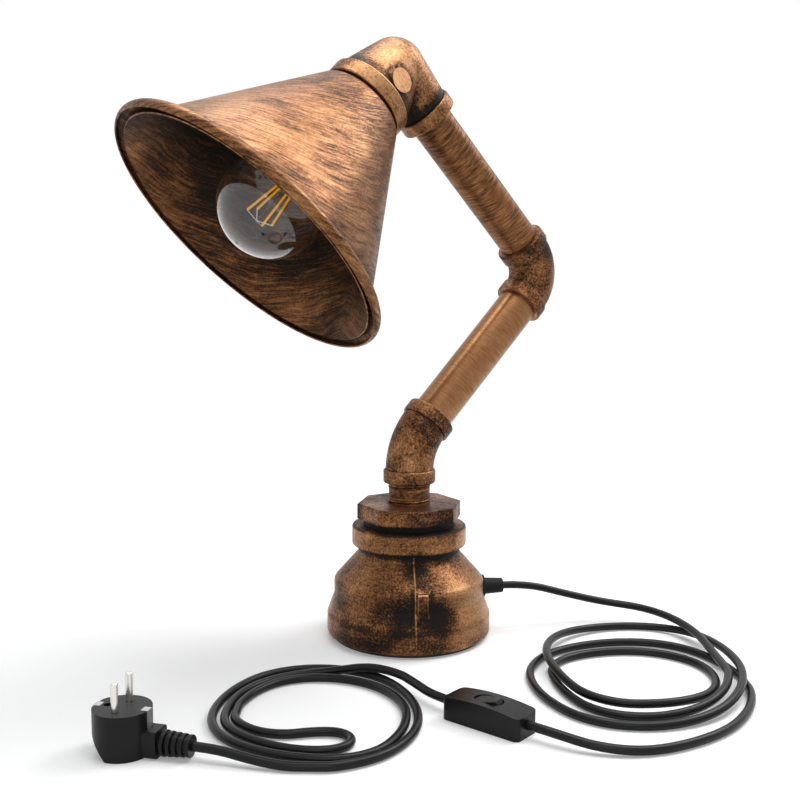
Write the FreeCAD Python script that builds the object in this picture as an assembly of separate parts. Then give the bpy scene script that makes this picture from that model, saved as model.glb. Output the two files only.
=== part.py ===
"""Industrial pipe table lamp: malleable pipe fittings on a cast reducing socket,
a rolled cone shade with an E27 lampholder, and a mains lead with an inline rocker switch.

Row frame in millimetres: the origin is the middle of the foot's underside, +Z is up and
the arm lies in the XZ plane, with its middle elbow towards +X and the shade towards -X.
"""

import FreeCAD, Part
import math
import os

V = FreeCAD.Vector
ORIGIN = V(0, 0, 0)
X_AXIS = V(1, 0, 0)
Y_AXIS = V(0, 1, 0)
Z_AXIS = V(0, 0, 1)

# Clearances
RUN_GAP = 0.05          # radial gap of a thread that turns in its socket
SEAT_GAP = 0.3          # gap between faces that move past each other
FIT_GAP = 0.1           # radial gap of a piece that is dropped into its seat
OVERCUT = 1.0           # how far a cutting tool runs past the face that it opens

# One inch pipe and the sockets that take it
PIPE_R = 16.85
PIPE_BORE_R = 13.65
THREAD_LENGTH = 17.0
SOCKET_DEPTH = 18.0
WATERWAY_R = 14.6

# Arm layout
ELBOW_Z = 158.5
LOWER_RUN = 196.0
UPPER_RUN = 221.0
LOWER_TILT = 45.0
UPPER_TILT = -45.0
HEAD_TILT = UPPER_TILT - 90.0

# Banded elbows for one inch pipe
FITTING_BODY_R = 19.6
BEAD_R = 21.3
BEAD_WIDTH = 9.5
BEAD_ROUND = 1.5
ELBOW_45_REACH = 31.5
ELBOW_90_REACH = 38.0

# Reducing elbow at the top
HEAD_SMALL_REACH = 49.0
HEAD_SMALL_BEAD_R = 23.4
HEAD_SMALL_BODY_R = 21.3
HEAD_BIG_REACH = 42.0
HEAD_BIG_BODY_R = 33.6
HEAD_BIG_WAY_R = 26.6
HEAD_BIG_BEAD_R = 35.0
HEAD_BIG_BEAD_WIDTH = 13.0
HEAD_BIG_BORE_R = 28.6
HEAD_BIG_BORE_DEPTH = 20.0
HEAD_BALL_R = 24.5      # the dome at the corner, which both arms are drawn off
HEAD_WAY_R = 19.5
BALL_STEP = 0.1         # the pipe's arm leaves a ball this much smaller, so that the arms meet in a clean edge
HEAD_WALL = 4.5
BOSS_R = 9.5
BOSS_ALONG = 19.0
BOSS_PROUD = 1.4

# Base: a reducing socket that stands on its wide end
BASE_TURN = -24.0       # the gland's direction about Z; the casting seam is square to it
PAD_R = 62.5
PAD_THICK = 2.0
BASE_BAND_R = 67.2
BASE_BAND_TOP = 19.0
BASE_BELLY_R = 61.4
BASE_BELLY_LOW = 35.0
BASE_BELLY_HIGH = 47.5
BASE_NECK_R = 41.7
BASE_NECK_Z = 69.5
BASE_INNER_DROP = 2.3   # the inner corners of the shoulder lie this far below the outer ones
BASE_COLLAR_R = 46.8
BASE_COLLAR_LOW = 76.0
BASE_TOP = 92.2
BASE_WALL = 6.0
BASE_BORE_R = 57.2
BASE_BORE_DEPTH = 14.0
COLLAR_BORE_R = 37.6
RIB_WIDTH = 9.0
RIB_PROUD = 2.0
RIB_LOW = 17.0
RIB_HIGH = 50.0
PLATE_THICK = 3.0

# Reducer bushing with its octagonal head
BUSHING_HEAD_LOW = 98.0
BUSHING_HEAD_TOP = 110.4
BUSHING_CORNER_R = 43.0
BUSHING_SHANK_LOW = 74.0
BUSHING_SIDES = 8
BUSHING_EDGE = 1.0
NIPPLE_LOW = 90.0

# Cable gland and what it feeds inside the base
GLAND_Z = 36.5
GLAND_FLANGE_R = 9.6
GLAND_FLANGE_THICK = 2.6
GLAND_BODY_R = 6.9
GLAND_TIP_R = 6.0
GLAND_REACH = 80.0
GLAND_SHANK_R = 6.0
GLAND_SHANK_LENGTH = 14.0
GLAND_NUT_R = 9.5
GLAND_NUT_THICK = 3.5
BLOCK_LENGTH = 22.0
BLOCK_WIDTH = 26.0
BLOCK_HEIGHT = 14.0
BLOCK_NEAR = -5.0       # the face towards the gland, along the gland's direction
BLOCK_SCREW_R = 1.8
BLOCK_SCREW_HEIGHT = 6.0
POLE_PITCH = 8.0
POLES = 3
EARTH_SCREW_AT = (22.0, 24.0)
EARTH_HEAD_R = 4.2
EARTH_HEAD_HEIGHT = 3.0
EARTH_LUG_R = 5.5
EARTH_LUG_THICK = 0.8

# Shade: distances run from the head elbow's centre along the shade's axis
SHADE_SEAT = 43.0
SHADE_SHEET = 1.0
SHADE_HOLE_R = 20.3
SHADE_TOP_R = 35.2
SHADE_SHOULDER = 9.0
SHADE_MOUTH_R = 111.8
SHADE_MOUTH = 181.8
LIP_R = 5.0
LIP_TURN = 265.0

# Lampholder
HOLDER_PLATE_BACK = 33.0
HOLDER_PLATE_FRONT = 37.0
HOLDER_NIPPLE_R = 5.0
HOLDER_NIPPLE_BORE_R = 3.5
HOLDER_NIPPLE_BACK = 26.0
HOLDER_NIPPLE_FRONT = 47.0
HOLDER_NUT_R = 9.0
HOLDER_NUT_THICK = 4.0
HOLDER_FLANGE_R = 26.0
HOLDER_FLANGE_THICK = 4.0
HOLDER_SLEEVE_R = 20.0
HOLDER_SLEEVE_WALL = 2.2
HOLDER_WEB = 7.0
HOLDER_MOUTH = 98.0
INSERT_BACK = 54.0
INSERT_FLOOR = 68.0
INSERT_MOUTH = 96.5
SHELL_R = 14.2
SHELL_SHEET = 0.5
SHELL_MOUTH = 94.0
TONGUE_R = 4.0
TONGUE_TOP = 70.7
TERMINAL_R = 2.2
TERMINAL_AT = 9.5
SHADE_RING_R = 26.0
SHADE_RING_THICK = 5.0
SHADE_RING_NOTCHES = 12

# Globe bulb with an E27 cap
BULB_FOOT = 71.0
BULB_FOOT_R = 4.6
BULB_FOOT_THICK = 1.2
BULB_GLASS_BLACK_R = 9.5
BULB_INSULATOR_THICK = 3.6
CAP_R = 13.2
CAP_SHEET = 0.4
CAP_TOP = 97.5
GLOBE_R = 41.0
GLOBE_AT = 150.4
GLASS_WALL = 0.9
NECK_R = 12.7
NECK_LENGTH = 12.0
NECK_ANGLE = 132.0
STEM_R = 4.4
STEM_TOP = 126.0
FILAMENT_R = 0.9
FILAMENT_LENGTH = 32.0
FILAMENT_LOW = 133.0
FILAMENT_RING_R = 6.5
FILAMENT_LEAN = 9.0
FILAMENTS = 4
SPIDER_R = 0.4

# Cable inside the pipes
CORE_R = 3.1
TAIL_ROOM = 0.15        # half of the gap where two cable lengths meet on a swivel's axis

# Cord: plan places are (along, away, height), turned about Z by CORD_TURN
CORD_TURN = -34.0
CORD_R = 3.1
LAYER = 7.0
BEND_SHARE = 0.45
FLOOR = CORD_R

LEAD = [(100.5, 17.7, 36.5), (135.0, 28.0, 25.0), (168.0, 35.0, 16.0), (200.0, 27.0, 13.8),
        (219.0, 2.0, 13.4), (230.0, -32.0, 12.8), (233.0, -68.0, 10.1)]
MIDDLE = [(244.0, -134.0, FLOOR), (233.0, -166.0, FLOOR), (210.0, -199.0, FLOOR),
          (178.0, -222.0, FLOOR), (147.0, -234.0, FLOOR), (117.0, -232.0, 4.9)]
HAIRPIN = [(3.5, -137.0, 9.2), (-8.0, -121.0, 10.3), (-30.0, -108.0, 10.3), (-56.0, -103.0, 4.6),
           (-80.0, -105.5, FLOOR), (-104.0, -119.5, FLOOR), (-119.0, -142.0, FLOOR),
           (-124.5, -170.0, FLOOR), (-123.0, -196.0, FLOOR), (-107.0, -216.0, FLOOR),
           (-84.0, -231.0, FLOOR), (-60.0, -236.5, FLOOR), (-42.0, -232.0, FLOOR),
           (-36.0, -219.0, FLOOR), (-44.0, -207.5, FLOOR), (-61.0, -206.5, FLOOR),
           (-82.0, -212.5, FLOOR), (-101.0, -207.0, FLOOR), (-117.0, -190.0, FLOOR)]
TAIL = [(-77.0, -257.0, FLOOR), (-98.0, -251.5, 5.0)]

# Loops of the two coils: the right, near, left and far side of each turn, and its layer there
RIGHT_TURNS = [((233.0, 1), (-180.0, 0), (106.0, 0), (-52.0, 0)),
               ((225.0, 0), (-168.0, 0.6), (105.0, 1), (9.0, 0)),
               ((245.5, 1), (-195.0, 0), (89.0, 0), (-31.0, 0))]
RIGHT_MID = [(-101.0, 156.0, -103.0, 173.0), (-101.0, 156.0, -82.0, 189.0), (-89.0, 152.0, -111.0, 180.0)]
RIGHT_LAST = (244.0, -115.0, 0)
LEFT_TURNS = [((-117.0, 0), (-112.5, 0), (-2.5, 0), (-247.0, 0)),
              ((-132.5, 0), (-94.0, 0), (5.5, 0), (-257.0, 0))]
LEFT_MID = [(-174.0, -66.0, -180.0, -50.0), (-178.0, -67.0, -184.0, -58.0)]

# Inline switch
SWITCH_AT = (52.3, -187.5)
SWITCH_SWING = 140.8    # direction of its long axis in the cord's plan
SWITCH_LENGTH = 61.0
SWITCH_WIDTH = 24.0
SWITCH_END_HEIGHT = 15.0
SWITCH_MID_HEIGHT = 17.6
SWITCH_SPLIT = 8.5
SWITCH_WALL = 2.0
SWITCH_ROUND = 4.0
SWITCH_MOUTH_R = 3.3
SWITCH_CORE_R = 1.1
ROCKER_R = 10.4
ROCKER_WIDTH = 12.0
ROCKER_GAP = 0.5
ROCKER_PIVOT_Z = 12.0
ROCKER_CREST = 6.2
ROCKER_VALLEY = 5.6
ROCKER_TILT = 8.0
ROCKER_DEPTH = 4.5
ROCKER_PIN_R = 1.2
SCREW_R = 1.5
SCREW_HEAD_R = 2.6
SCREW_HEAD_HEIGHT = 1.6
SCREW_INSET = (8.0, 5.5)
CONTACT_SIZE = (7.0, 5.0, 4.0)
CONTACT_AT = 17.0
BRIDGE_SIZE = (16.0, 3.0, 0.8)

# Angled mains plug, lying on its back with its pins up
PLUG_AT = (-180.0, -230.0)
PLUG_SWING = -14.0      # direction in which its cord leaves, in the cord's plan
PLUG_R = 18.7
PLUG_HEIGHT = 29.0
PLUG_BACK_CUT = 17.0
PLUG_FOOT_R = 3.0
PLUG_NECK_AT = 26.0
PLUG_NECK_WIDTH = 17.0
PLUG_NECK_HEIGHT = 17.6
PLUG_ROUND = 1.5
RELIEF_R = 8.2
RELIEF_END_R = 7.0
RELIEF_CORE_R = 6.0
RELIEF_LENGTH = 21.0
RELIEF_RIBS = 5
RELIEF_Z = 8.3
PIN_R = 2.4
PIN_LENGTH = 19.0
PIN_PITCH = 19.0
PIN_ROOT = 6.0
PIN_ROOT_R = 2.0
PIN_STEP = 0.3          # the full width of a pin starts this far off the plug's face
CLIP_WIDTH = 6.0
CLIP_SHEET = 0.8
CLIP_DROP = 12.0
EARTH_HOLE_R = 2.6
EARTH_HOLE_AT = 10.0
EARTH_HOLE_DEPTH = 14.0


def along(tilt, distance):
    """A vector in the arm's plane, tilted from +Z towards +X."""
    angle = math.radians(tilt)
    return V(math.sin(angle), 0, math.cos(angle)) * distance


def arc_middle(corner, start, end):
    """Middle of the arc that is tangent to corner-start at start and to corner-end at end."""
    chord_middle = (start + end) * 0.5
    tangent = (start - corner).Length
    rise = (chord_middle - corner).Length
    half_turn = math.asin(min(1.0, rise / tangent))
    radius = tangent / math.tan(half_turn)
    depth = radius * (1 / math.cos(half_turn) - 1)
    return corner + (chord_middle - corner).normalize() * depth


def outline(corners):
    """Closed wire in the XZ plane. A corner is (x, z), or (x, z, rounding)."""
    points = [V(c[0], 0, c[1]) for c in corners]
    legs = []
    for i, corner in enumerate(points):
        rounding = corners[i][2] if len(corners[i]) > 2 else 0
        to_last = (points[i - 1] - corner).normalize()
        to_next = (points[(i + 1) % len(points)] - corner).normalize()
        back = rounding / math.tan(to_last.getAngle(to_next) / 2)
        legs.append((corner + to_last * back, corner, corner + to_next * back))
    edges = []
    for i, (start, corner, end) in enumerate(legs):
        if (end - start).Length > 1e-6:
            edges.append(Part.Arc(start, arc_middle(corner, start, end), end).toShape())
        following = legs[(i + 1) % len(legs)][0]
        if (following - end).Length > 1e-6:
            edges.append(Part.LineSegment(end, following).toShape())
    return Part.Wire(edges)


def turned(corners):
    """Solid turned about Z from corners given as (radius, height, rounding)."""
    return Part.Face(outline(corners)).revolve(ORIGIN, Z_AXIS, 360)


def disc(radius, low, high):
    return Part.makeCylinder(radius, high - low, V(0, 0, low))


def ring(outer, inner, low, high):
    return disc(outer, low, high).cut(disc(inner, low - OVERCUT, high + OVERCUT))


def prism(sides, corner_r, low, high, turn=0.0):
    """Upright prism on a regular polygon, with its first corner at the given angle."""
    corners = []
    for i in range(sides + 1):
        angle = math.radians(turn + i * 360.0 / sides)
        corners.append(V(corner_r * math.cos(angle), corner_r * math.sin(angle), low))
    return Part.Face(Part.makePolygon(corners)).extrude(V(0, 0, high - low))


def box(size, centre, low):
    """Box on its own middle in plan."""
    corner = V(centre[0] - size[0] / 2, centre[1] - size[1] / 2, low)
    return Part.makeBox(size[0], size[1], size[2], corner)


def placed(shape, place, swing=0.0):
    """Turned about Z by swing, then moved."""
    moved = shape.copy()
    moved.rotate(ORIGIN, Z_AXIS, swing)
    moved.translate(place)
    return moved


def tilted(shape, place, tilt):
    """Turned so that its Z axis lies along the tilt in the arm's plane, then moved."""
    moved = shape.copy()
    moved.rotate(ORIGIN, Y_AXIS, tilt)
    moved.translate(place)
    return moved


def group(shapes):
    return Part.makeCompound(shapes)


# Places that everything else is set from
FOOT_TOP = PAD_THICK
ELBOW_LOW = V(0, 0, ELBOW_Z)
ELBOW_MID = ELBOW_LOW + along(LOWER_TILT, LOWER_RUN)
ELBOW_TOP = ELBOW_MID + along(UPPER_TILT, UPPER_RUN)
NIPPLE_TOP = ELBOW_Z - ELBOW_45_REACH + THREAD_LENGTH


# Fittings

def bend(tilt_a, tilt_b, tangent, radius):
    """Part of a torus that joins the two arms of an elbow."""
    arm_a = along(tilt_a, 1)
    arm_b = along(tilt_b, 1)
    half = arm_a.getAngle(arm_b) / 2
    hub = (arm_a + arm_b).normalize() * (tangent / math.cos(half))
    sweep = 180 - 2 * math.degrees(half)
    if arm_a.cross(arm_b).y > 0:
        sweep = -sweep
    circle = Part.Wire(Part.makeCircle(radius, arm_a * tangent, arm_a))
    return Part.Face(circle).revolve(hub, Y_AXIS, sweep)


def ball_lean(ball_r, far_r, far):
    """Angle from the axis at which a cone through (far_r, far) leaves a ball about the origin."""
    return math.atan2(far_r, far) + math.acos(ball_r / math.hypot(far_r, far))


def domed(tilt, ball_r, far_r, far):
    """Ball about an elbow's centre, with a cone drawn off it along one arm."""
    lean = ball_lean(ball_r, far_r, far)
    half_way = (math.pi + lean) / 2
    foot = V(0, 0, -ball_r)
    side = V(math.sin(half_way), 0, math.cos(half_way)) * ball_r
    leave = V(math.sin(lean), 0, math.cos(lean)) * ball_r
    rim = V(far_r, 0, far)
    edges = [Part.Arc(foot, side, leave).toShape(), Part.LineSegment(leave, rim).toShape(),
             Part.LineSegment(rim, V(0, 0, far)).toShape(), Part.LineSegment(V(0, 0, far), foot).toShape()]
    return tilted(Part.Face(Part.Wire(edges)).revolve(ORIGIN, Z_AXIS, 360), ORIGIN, tilt)


def arm(tilt, low, high, radius):
    """Round bar along one arm of an elbow."""
    return tilted(disc(radius, low, high), ORIGIN, tilt)


def bead(tilt, reach, radius, width):
    """The rounded band at the mouth of a fitting."""
    corners = [(0, reach - width), (radius, reach - width, BEAD_ROUND), (radius, reach, BEAD_ROUND), (0, reach)]
    return tilted(turned(corners), ORIGIN, tilt)


def elbow(tilt_a, tilt_b, reach):
    """Banded elbow for one inch pipe, hollow, with a socket in each arm."""
    tangent = reach - BEAD_WIDTH
    body = bend(tilt_a, tilt_b, tangent, FITTING_BODY_R)
    way = bend(tilt_a, tilt_b, tangent, WATERWAY_R)
    for tilt in (tilt_a, tilt_b):
        body = body.fuse(bead(tilt, reach, BEAD_R, BEAD_WIDTH + BEAD_ROUND))
        way = way.fuse(arm(tilt, tangent, reach, WATERWAY_R))
        way = way.fuse(arm(tilt, reach - SOCKET_DEPTH, reach + OVERCUT, PIPE_R + RUN_GAP))
    return body.cut(way).removeSplitter()


def head_elbow():
    """Domed reducing elbow: a one inch socket below, and a wide mouth for the lampholder."""
    pipe_arm = UPPER_TILT + 180
    pipe_neck = HEAD_SMALL_REACH - BEAD_WIDTH
    mouth_neck = HEAD_BIG_REACH - HEAD_BIG_BEAD_WIDTH + BEAD_ROUND
    socket_floor = HEAD_SMALL_REACH - SOCKET_DEPTH
    bore_floor = HEAD_BIG_REACH - HEAD_BIG_BORE_DEPTH
    body = domed(HEAD_TILT, HEAD_BALL_R, HEAD_BIG_BODY_R, mouth_neck)
    body = body.fuse(domed(pipe_arm, HEAD_BALL_R - BALL_STEP, HEAD_SMALL_BODY_R, pipe_neck))
    body = body.fuse(bead(pipe_arm, HEAD_SMALL_REACH, HEAD_SMALL_BEAD_R, BEAD_WIDTH + BEAD_ROUND))
    body = body.fuse(bead(HEAD_TILT, HEAD_BIG_REACH, HEAD_BIG_BEAD_R, HEAD_BIG_BEAD_WIDTH))
    body = body.fuse(head_boss(mouth_neck))
    way = domed(HEAD_TILT, HEAD_WAY_R, HEAD_BIG_WAY_R, bore_floor)
    way = way.fuse(domed(pipe_arm, HEAD_WAY_R - BALL_STEP, WATERWAY_R, socket_floor))
    way = way.fuse(arm(pipe_arm, socket_floor, HEAD_SMALL_REACH + OVERCUT, PIPE_R + RUN_GAP))
    way = way.fuse(arm(HEAD_TILT, bore_floor, HEAD_BIG_REACH + OVERCUT, HEAD_BIG_BORE_R))
    return body.cut(way)


def head_boss(mouth_neck):
    """Round boss that stands square to the cone, on the side of the casting that faces -Y."""
    lean = ball_lean(HEAD_BALL_R, HEAD_BIG_BODY_R, mouth_neck)
    outward = V(0, -math.sin(lean), math.cos(lean))
    cone_r = (HEAD_BALL_R - BOSS_ALONG * math.cos(lean)) / math.sin(lean)
    face = V(0, -cone_r, BOSS_ALONG) + outward * BOSS_PROUD
    boss = Part.makeCylinder(BOSS_R, BOSS_PROUD + HEAD_WALL, face, outward * -1)
    return tilted(boss, ORIGIN, HEAD_TILT)


def pipe(start, tilt, low, high):
    """Pipe along a tilt, with its ends at these distances from start."""
    return tilted(ring(PIPE_R, PIPE_BORE_R, low, high), start, tilt)


# Base

def base_casting():
    """Reducing socket: a wide band, a round shoulder, a neck and a collar, hollow throughout."""
    outer = [(BASE_BORE_R, FOOT_TOP), (BASE_BAND_R, FOOT_TOP, 4.0), (BASE_BAND_R, BASE_BAND_TOP, 2.0),
             (BASE_BELLY_R, BASE_BELLY_LOW, 6.0), (BASE_BELLY_R, BASE_BELLY_HIGH, 6.0),
             (BASE_NECK_R, BASE_NECK_Z, 3.0), (BASE_NECK_R, BASE_COLLAR_LOW, 1.0),
             (BASE_COLLAR_R, BASE_COLLAR_LOW, 2.0), (BASE_COLLAR_R, BASE_TOP, 2.0), (COLLAR_BORE_R, BASE_TOP)]
    inner = [(COLLAR_BORE_R, BASE_COLLAR_LOW - BASE_WALL), (BASE_NECK_R - BASE_WALL, BASE_NECK_Z - BASE_INNER_DROP),
             (BASE_BELLY_R - BASE_WALL, BASE_BELLY_HIGH - BASE_INNER_DROP, 6.0),
             (BASE_BELLY_R - BASE_WALL, FOOT_TOP + BASE_BORE_DEPTH),
             (BASE_BORE_R, FOOT_TOP + BASE_BORE_DEPTH)]
    body = turned(outer + inner)
    rib_size = (RIB_PROUD + BASE_WALL, RIB_WIDTH, RIB_HIGH - RIB_LOW)
    rib_middle = BASE_BELLY_R + RIB_PROUD - rib_size[0] / 2
    for side in (90, -90):
        rib = box(rib_size, (rib_middle, 0), RIB_LOW)
        rib = rib.makeFillet(RIB_PROUD * 0.9, [e for e in rib.Edges if is_outer_edge(e, rib_middle)])
        body = body.fuse(placed(rib, ORIGIN, side))
    hole = Part.makeCylinder(GLAND_SHANK_R + FIT_GAP, BASE_BELLY_R + OVERCUT, V(0, 0, GLAND_Z), X_AXIS)
    flat = Part.makeCylinder(GLAND_FLANGE_R + FIT_GAP, BASE_BAND_R, V(BASE_BELLY_R, 0, GLAND_Z), X_AXIS)
    body = body.cut(hole).cut(flat)
    inner_flat = Part.makeCylinder(GLAND_NUT_R + FIT_GAP, gland_wall_inside(), V(0, 0, GLAND_Z), X_AXIS)
    body = body.cut(inner_flat)
    return placed(body, ORIGIN, BASE_TURN)


def is_outer_edge(edge, middle):
    """Edges on a rib's outer face."""
    return edge.CenterOfMass.x > middle * 1.03


def gland_wall_inside():
    """Distance from the axis to the flat that the gland's nut seats on."""
    return BASE_BELLY_R - BASE_WALL + 0.8


def bushing():
    """Octagonal head on a threaded shank, bored for the nipple."""
    head = prism(BUSHING_SIDES, BUSHING_CORNER_R, BUSHING_HEAD_LOW, BUSHING_HEAD_TOP, BASE_TURN)
    top_edges = [e for e in head.Edges if abs(e.CenterOfMass.z - BUSHING_HEAD_TOP) < BUSHING_EDGE / 2]
    head = head.makeFillet(BUSHING_EDGE, top_edges)
    shank = disc(COLLAR_BORE_R - FIT_GAP, BUSHING_SHANK_LOW, BUSHING_HEAD_LOW)
    bore = disc(PIPE_R + FIT_GAP, BUSHING_SHANK_LOW - OVERCUT, BUSHING_HEAD_TOP + OVERCUT)
    relief_r = COLLAR_BORE_R - BASE_WALL
    relief = disc(relief_r, BUSHING_SHANK_LOW - OVERCUT, NIPPLE_LOW - OVERCUT)
    return head.fuse(shank).cut(bore).cut(relief)


def gland():
    """Flange, round nut and threaded shank, bored for the cord; it points along +X."""
    flange_end = BASE_BELLY_R + GLAND_FLANGE_THICK
    corners = [(CORD_R, BASE_BELLY_R - GLAND_SHANK_LENGTH), (GLAND_SHANK_R, BASE_BELLY_R - GLAND_SHANK_LENGTH),
               (GLAND_SHANK_R, BASE_BELLY_R), (GLAND_FLANGE_R, BASE_BELLY_R),
               (GLAND_FLANGE_R, flange_end, 1.0), (GLAND_BODY_R, flange_end),
               (GLAND_TIP_R, GLAND_REACH, 0.8), (CORD_R, GLAND_REACH)]
    return radial(turned(corners))


def gland_nut():
    seat = gland_wall_inside()
    nut = prism(6, GLAND_NUT_R, seat - GLAND_NUT_THICK, seat)
    return radial(nut.cut(disc(GLAND_SHANK_R + RUN_GAP, 0, seat + OVERCUT)))


def radial(shape):
    """From the Z axis onto the gland's line."""
    laid = shape.copy()
    laid.rotate(ORIGIN, Y_AXIS, 90)
    return placed(laid, V(0, 0, GLAND_Z), BASE_TURN)


def terminal_block():
    """Three-pole screw connector, with a tower over each pole."""
    low = FOOT_TOP + PLATE_THICK
    middle = BLOCK_NEAR - BLOCK_LENGTH / 2
    block = box((BLOCK_LENGTH, BLOCK_WIDTH, BLOCK_HEIGHT * 0.6), (middle, 0), low)
    screws = []
    for i in range(POLES):
        side = (i - (POLES - 1) / 2) * POLE_PITCH
        tower = box((BLOCK_LENGTH * 0.8, POLE_PITCH * 0.7, BLOCK_HEIGHT), (middle, side), low)
        block = block.fuse(tower)
        for end in (-1, 1):
            at = V(middle + end * BLOCK_LENGTH / 4, side, low + BLOCK_HEIGHT - BLOCK_SCREW_HEIGHT)
            hole = Part.makeCylinder(BLOCK_SCREW_R + FIT_GAP, BLOCK_SCREW_HEIGHT + OVERCUT, at)
            block = block.cut(hole)
            screws.append(Part.makeCylinder(BLOCK_SCREW_R, BLOCK_SCREW_HEIGHT - OVERCUT, at))
    return placed(block, ORIGIN, BASE_TURN), placed(group(screws), ORIGIN, BASE_TURN)


def earth_point():
    """Ring lug under a pan-head screw on the bottom plate."""
    low = FOOT_TOP + PLATE_THICK
    place = V(EARTH_SCREW_AT[0], EARTH_SCREW_AT[1], 0)
    lug = disc(EARTH_LUG_R, low, low + EARTH_LUG_THICK)
    head_low = low + EARTH_LUG_THICK
    head = turned([(0, head_low), (EARTH_HEAD_R, head_low), (EARTH_HEAD_R, head_low + EARTH_HEAD_HEIGHT, 1.5),
                   (0, head_low + EARTH_HEAD_HEIGHT)])
    return placed(lug.fuse(head), place)


# Shade and lampholder, made about Z with heights as distances from the head elbow's centre

def shade():
    """Spun cone with a rounded shoulder and a lip that is rolled outwards."""
    slope = math.atan2(SHADE_MOUTH_R - SHADE_TOP_R, SHADE_MOUTH - SHADE_SEAT)
    side = SHADE_SHEET / math.cos(slope)
    inner_top = SHADE_TOP_R - side + SHADE_SHEET * math.tan(slope)
    corners = [(SHADE_HOLE_R, SHADE_SEAT), (SHADE_TOP_R, SHADE_SEAT, SHADE_SHOULDER), (SHADE_MOUTH_R, SHADE_MOUTH),
               (SHADE_MOUTH_R - side * math.cos(slope) ** 2, SHADE_MOUTH + SHADE_SHEET * math.sin(slope)),
               (inner_top, SHADE_SEAT + SHADE_SHEET, SHADE_SHOULDER - SHADE_SHEET),
               (SHADE_HOLE_R, SHADE_SEAT + SHADE_SHEET)]
    cone = turned(corners)
    outward = V(math.cos(slope), 0, -math.sin(slope))
    hub = V(SHADE_MOUTH_R, 0, SHADE_MOUTH) + outward * (LIP_R - SHADE_SHEET)
    back = outward * -1

    def around(radius, degrees):
        return hub + FreeCAD.Rotation(Y_AXIS, -degrees).multVec(back * radius)

    rim_out = [around(LIP_R, LIP_TURN * share) for share in (0, 0.5, 1)]
    rim_in = [around(LIP_R - SHADE_SHEET, LIP_TURN * share) for share in (1, 0.5, 0)]
    edges = [Part.Arc(*rim_out).toShape(), Part.LineSegment(rim_out[2], rim_in[0]).toShape(),
             Part.Arc(*rim_in).toShape(), Part.LineSegment(rim_in[2], rim_out[0]).toShape()]
    lip = Part.Face(Part.Wire(edges)).revolve(ORIGIN, Z_AXIS, 360)
    return cone.fuse(lip).removeSplitter()


def holder_sleeve():
    """Threaded sleeve with the flange that the shade rests on."""
    flange_back = SHADE_SEAT - HOLDER_FLANGE_THICK
    inner_r = HOLDER_SLEEVE_R - HOLDER_SLEEVE_WALL
    web_front = HOLDER_PLATE_FRONT + HOLDER_WEB
    corners = [(HOLDER_NIPPLE_R + FIT_GAP, HOLDER_PLATE_FRONT), (HOLDER_SLEEVE_R, HOLDER_PLATE_FRONT),
               (HOLDER_SLEEVE_R, flange_back), (HOLDER_FLANGE_R, flange_back, 1.0), (HOLDER_FLANGE_R, SHADE_SEAT),
               (HOLDER_SLEEVE_R, SHADE_SEAT), (HOLDER_SLEEVE_R, HOLDER_MOUTH, 0.8), (inner_r, HOLDER_MOUTH),
               (inner_r, web_front), (HOLDER_NIPPLE_R + FIT_GAP, web_front)]
    return turned(corners)


def holder_insert():
    """Ceramic cup that carries the screw shell and the contacts."""
    outer_r = HOLDER_SLEEVE_R - HOLDER_SLEEVE_WALL - FIT_GAP
    cup_r = SHELL_R + FIT_GAP
    web_front = HOLDER_PLATE_FRONT + HOLDER_WEB
    corners = [(HOLDER_NIPPLE_R + FIT_GAP, web_front), (outer_r, web_front), (outer_r, INSERT_MOUTH, 0.8),
               (cup_r, INSERT_MOUTH), (cup_r, INSERT_FLOOR), (0, INSERT_FLOOR), (0, INSERT_BACK),
               (HOLDER_NIPPLE_R + FIT_GAP, INSERT_BACK)]
    cup = turned(corners)
    for end in (-1, 1):
        at = V(0, end * TERMINAL_AT, web_front - OVERCUT)
        cup = cup.cut(Part.makeCylinder(TERMINAL_R + FIT_GAP, INSERT_BACK + 2 - web_front + OVERCUT, at))
    return cup


def holder_terminals():
    web_front = HOLDER_PLATE_FRONT + HOLDER_WEB
    screws = []
    for end in (-1, 1):
        at = V(0, end * TERMINAL_AT, web_front)
        screws.append(Part.makeCylinder(TERMINAL_R, INSERT_BACK + 2 - web_front, at))
    return group(screws)


def screw_shell():
    corners = [(TONGUE_R + 2, INSERT_FLOOR), (SHELL_R, INSERT_FLOOR, 1.0), (SHELL_R, SHELL_MOUTH),
               (SHELL_R - SHELL_SHEET, SHELL_MOUTH), (SHELL_R - SHELL_SHEET, INSERT_FLOOR + SHELL_SHEET, 0.5),
               (TONGUE_R + 2, INSERT_FLOOR + SHELL_SHEET)]
    return turned(corners)


def centre_tongue():
    """Sprung contact under the bulb's foot."""
    size = (TONGUE_R * 2, TONGUE_R, SHELL_SHEET)
    base = box(size, (0, 0), INSERT_FLOOR)
    riser = box((SHELL_SHEET, TONGUE_R, TONGUE_TOP - INSERT_FLOOR), (TONGUE_R - SHELL_SHEET / 2, 0), INSERT_FLOOR)
    top = box(size, (0, 0), TONGUE_TOP - SHELL_SHEET)
    return base.fuse(riser).fuse(top).removeSplitter()


def shade_ring():
    """Knurled ring that clamps the shade from inside."""
    low = SHADE_SEAT + SHADE_SHEET
    body = ring(SHADE_RING_R, HOLDER_SLEEVE_R + RUN_GAP, low, low + SHADE_RING_THICK)
    for i in range(SHADE_RING_NOTCHES):
        angle = math.radians(i * 360.0 / SHADE_RING_NOTCHES)
        at = V(SHADE_RING_R * math.cos(angle), SHADE_RING_R * math.sin(angle), low + OVERCUT)
        body = body.cut(Part.makeCylinder(1.4, SHADE_RING_THICK, at))
    return body


# Bulb

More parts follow.
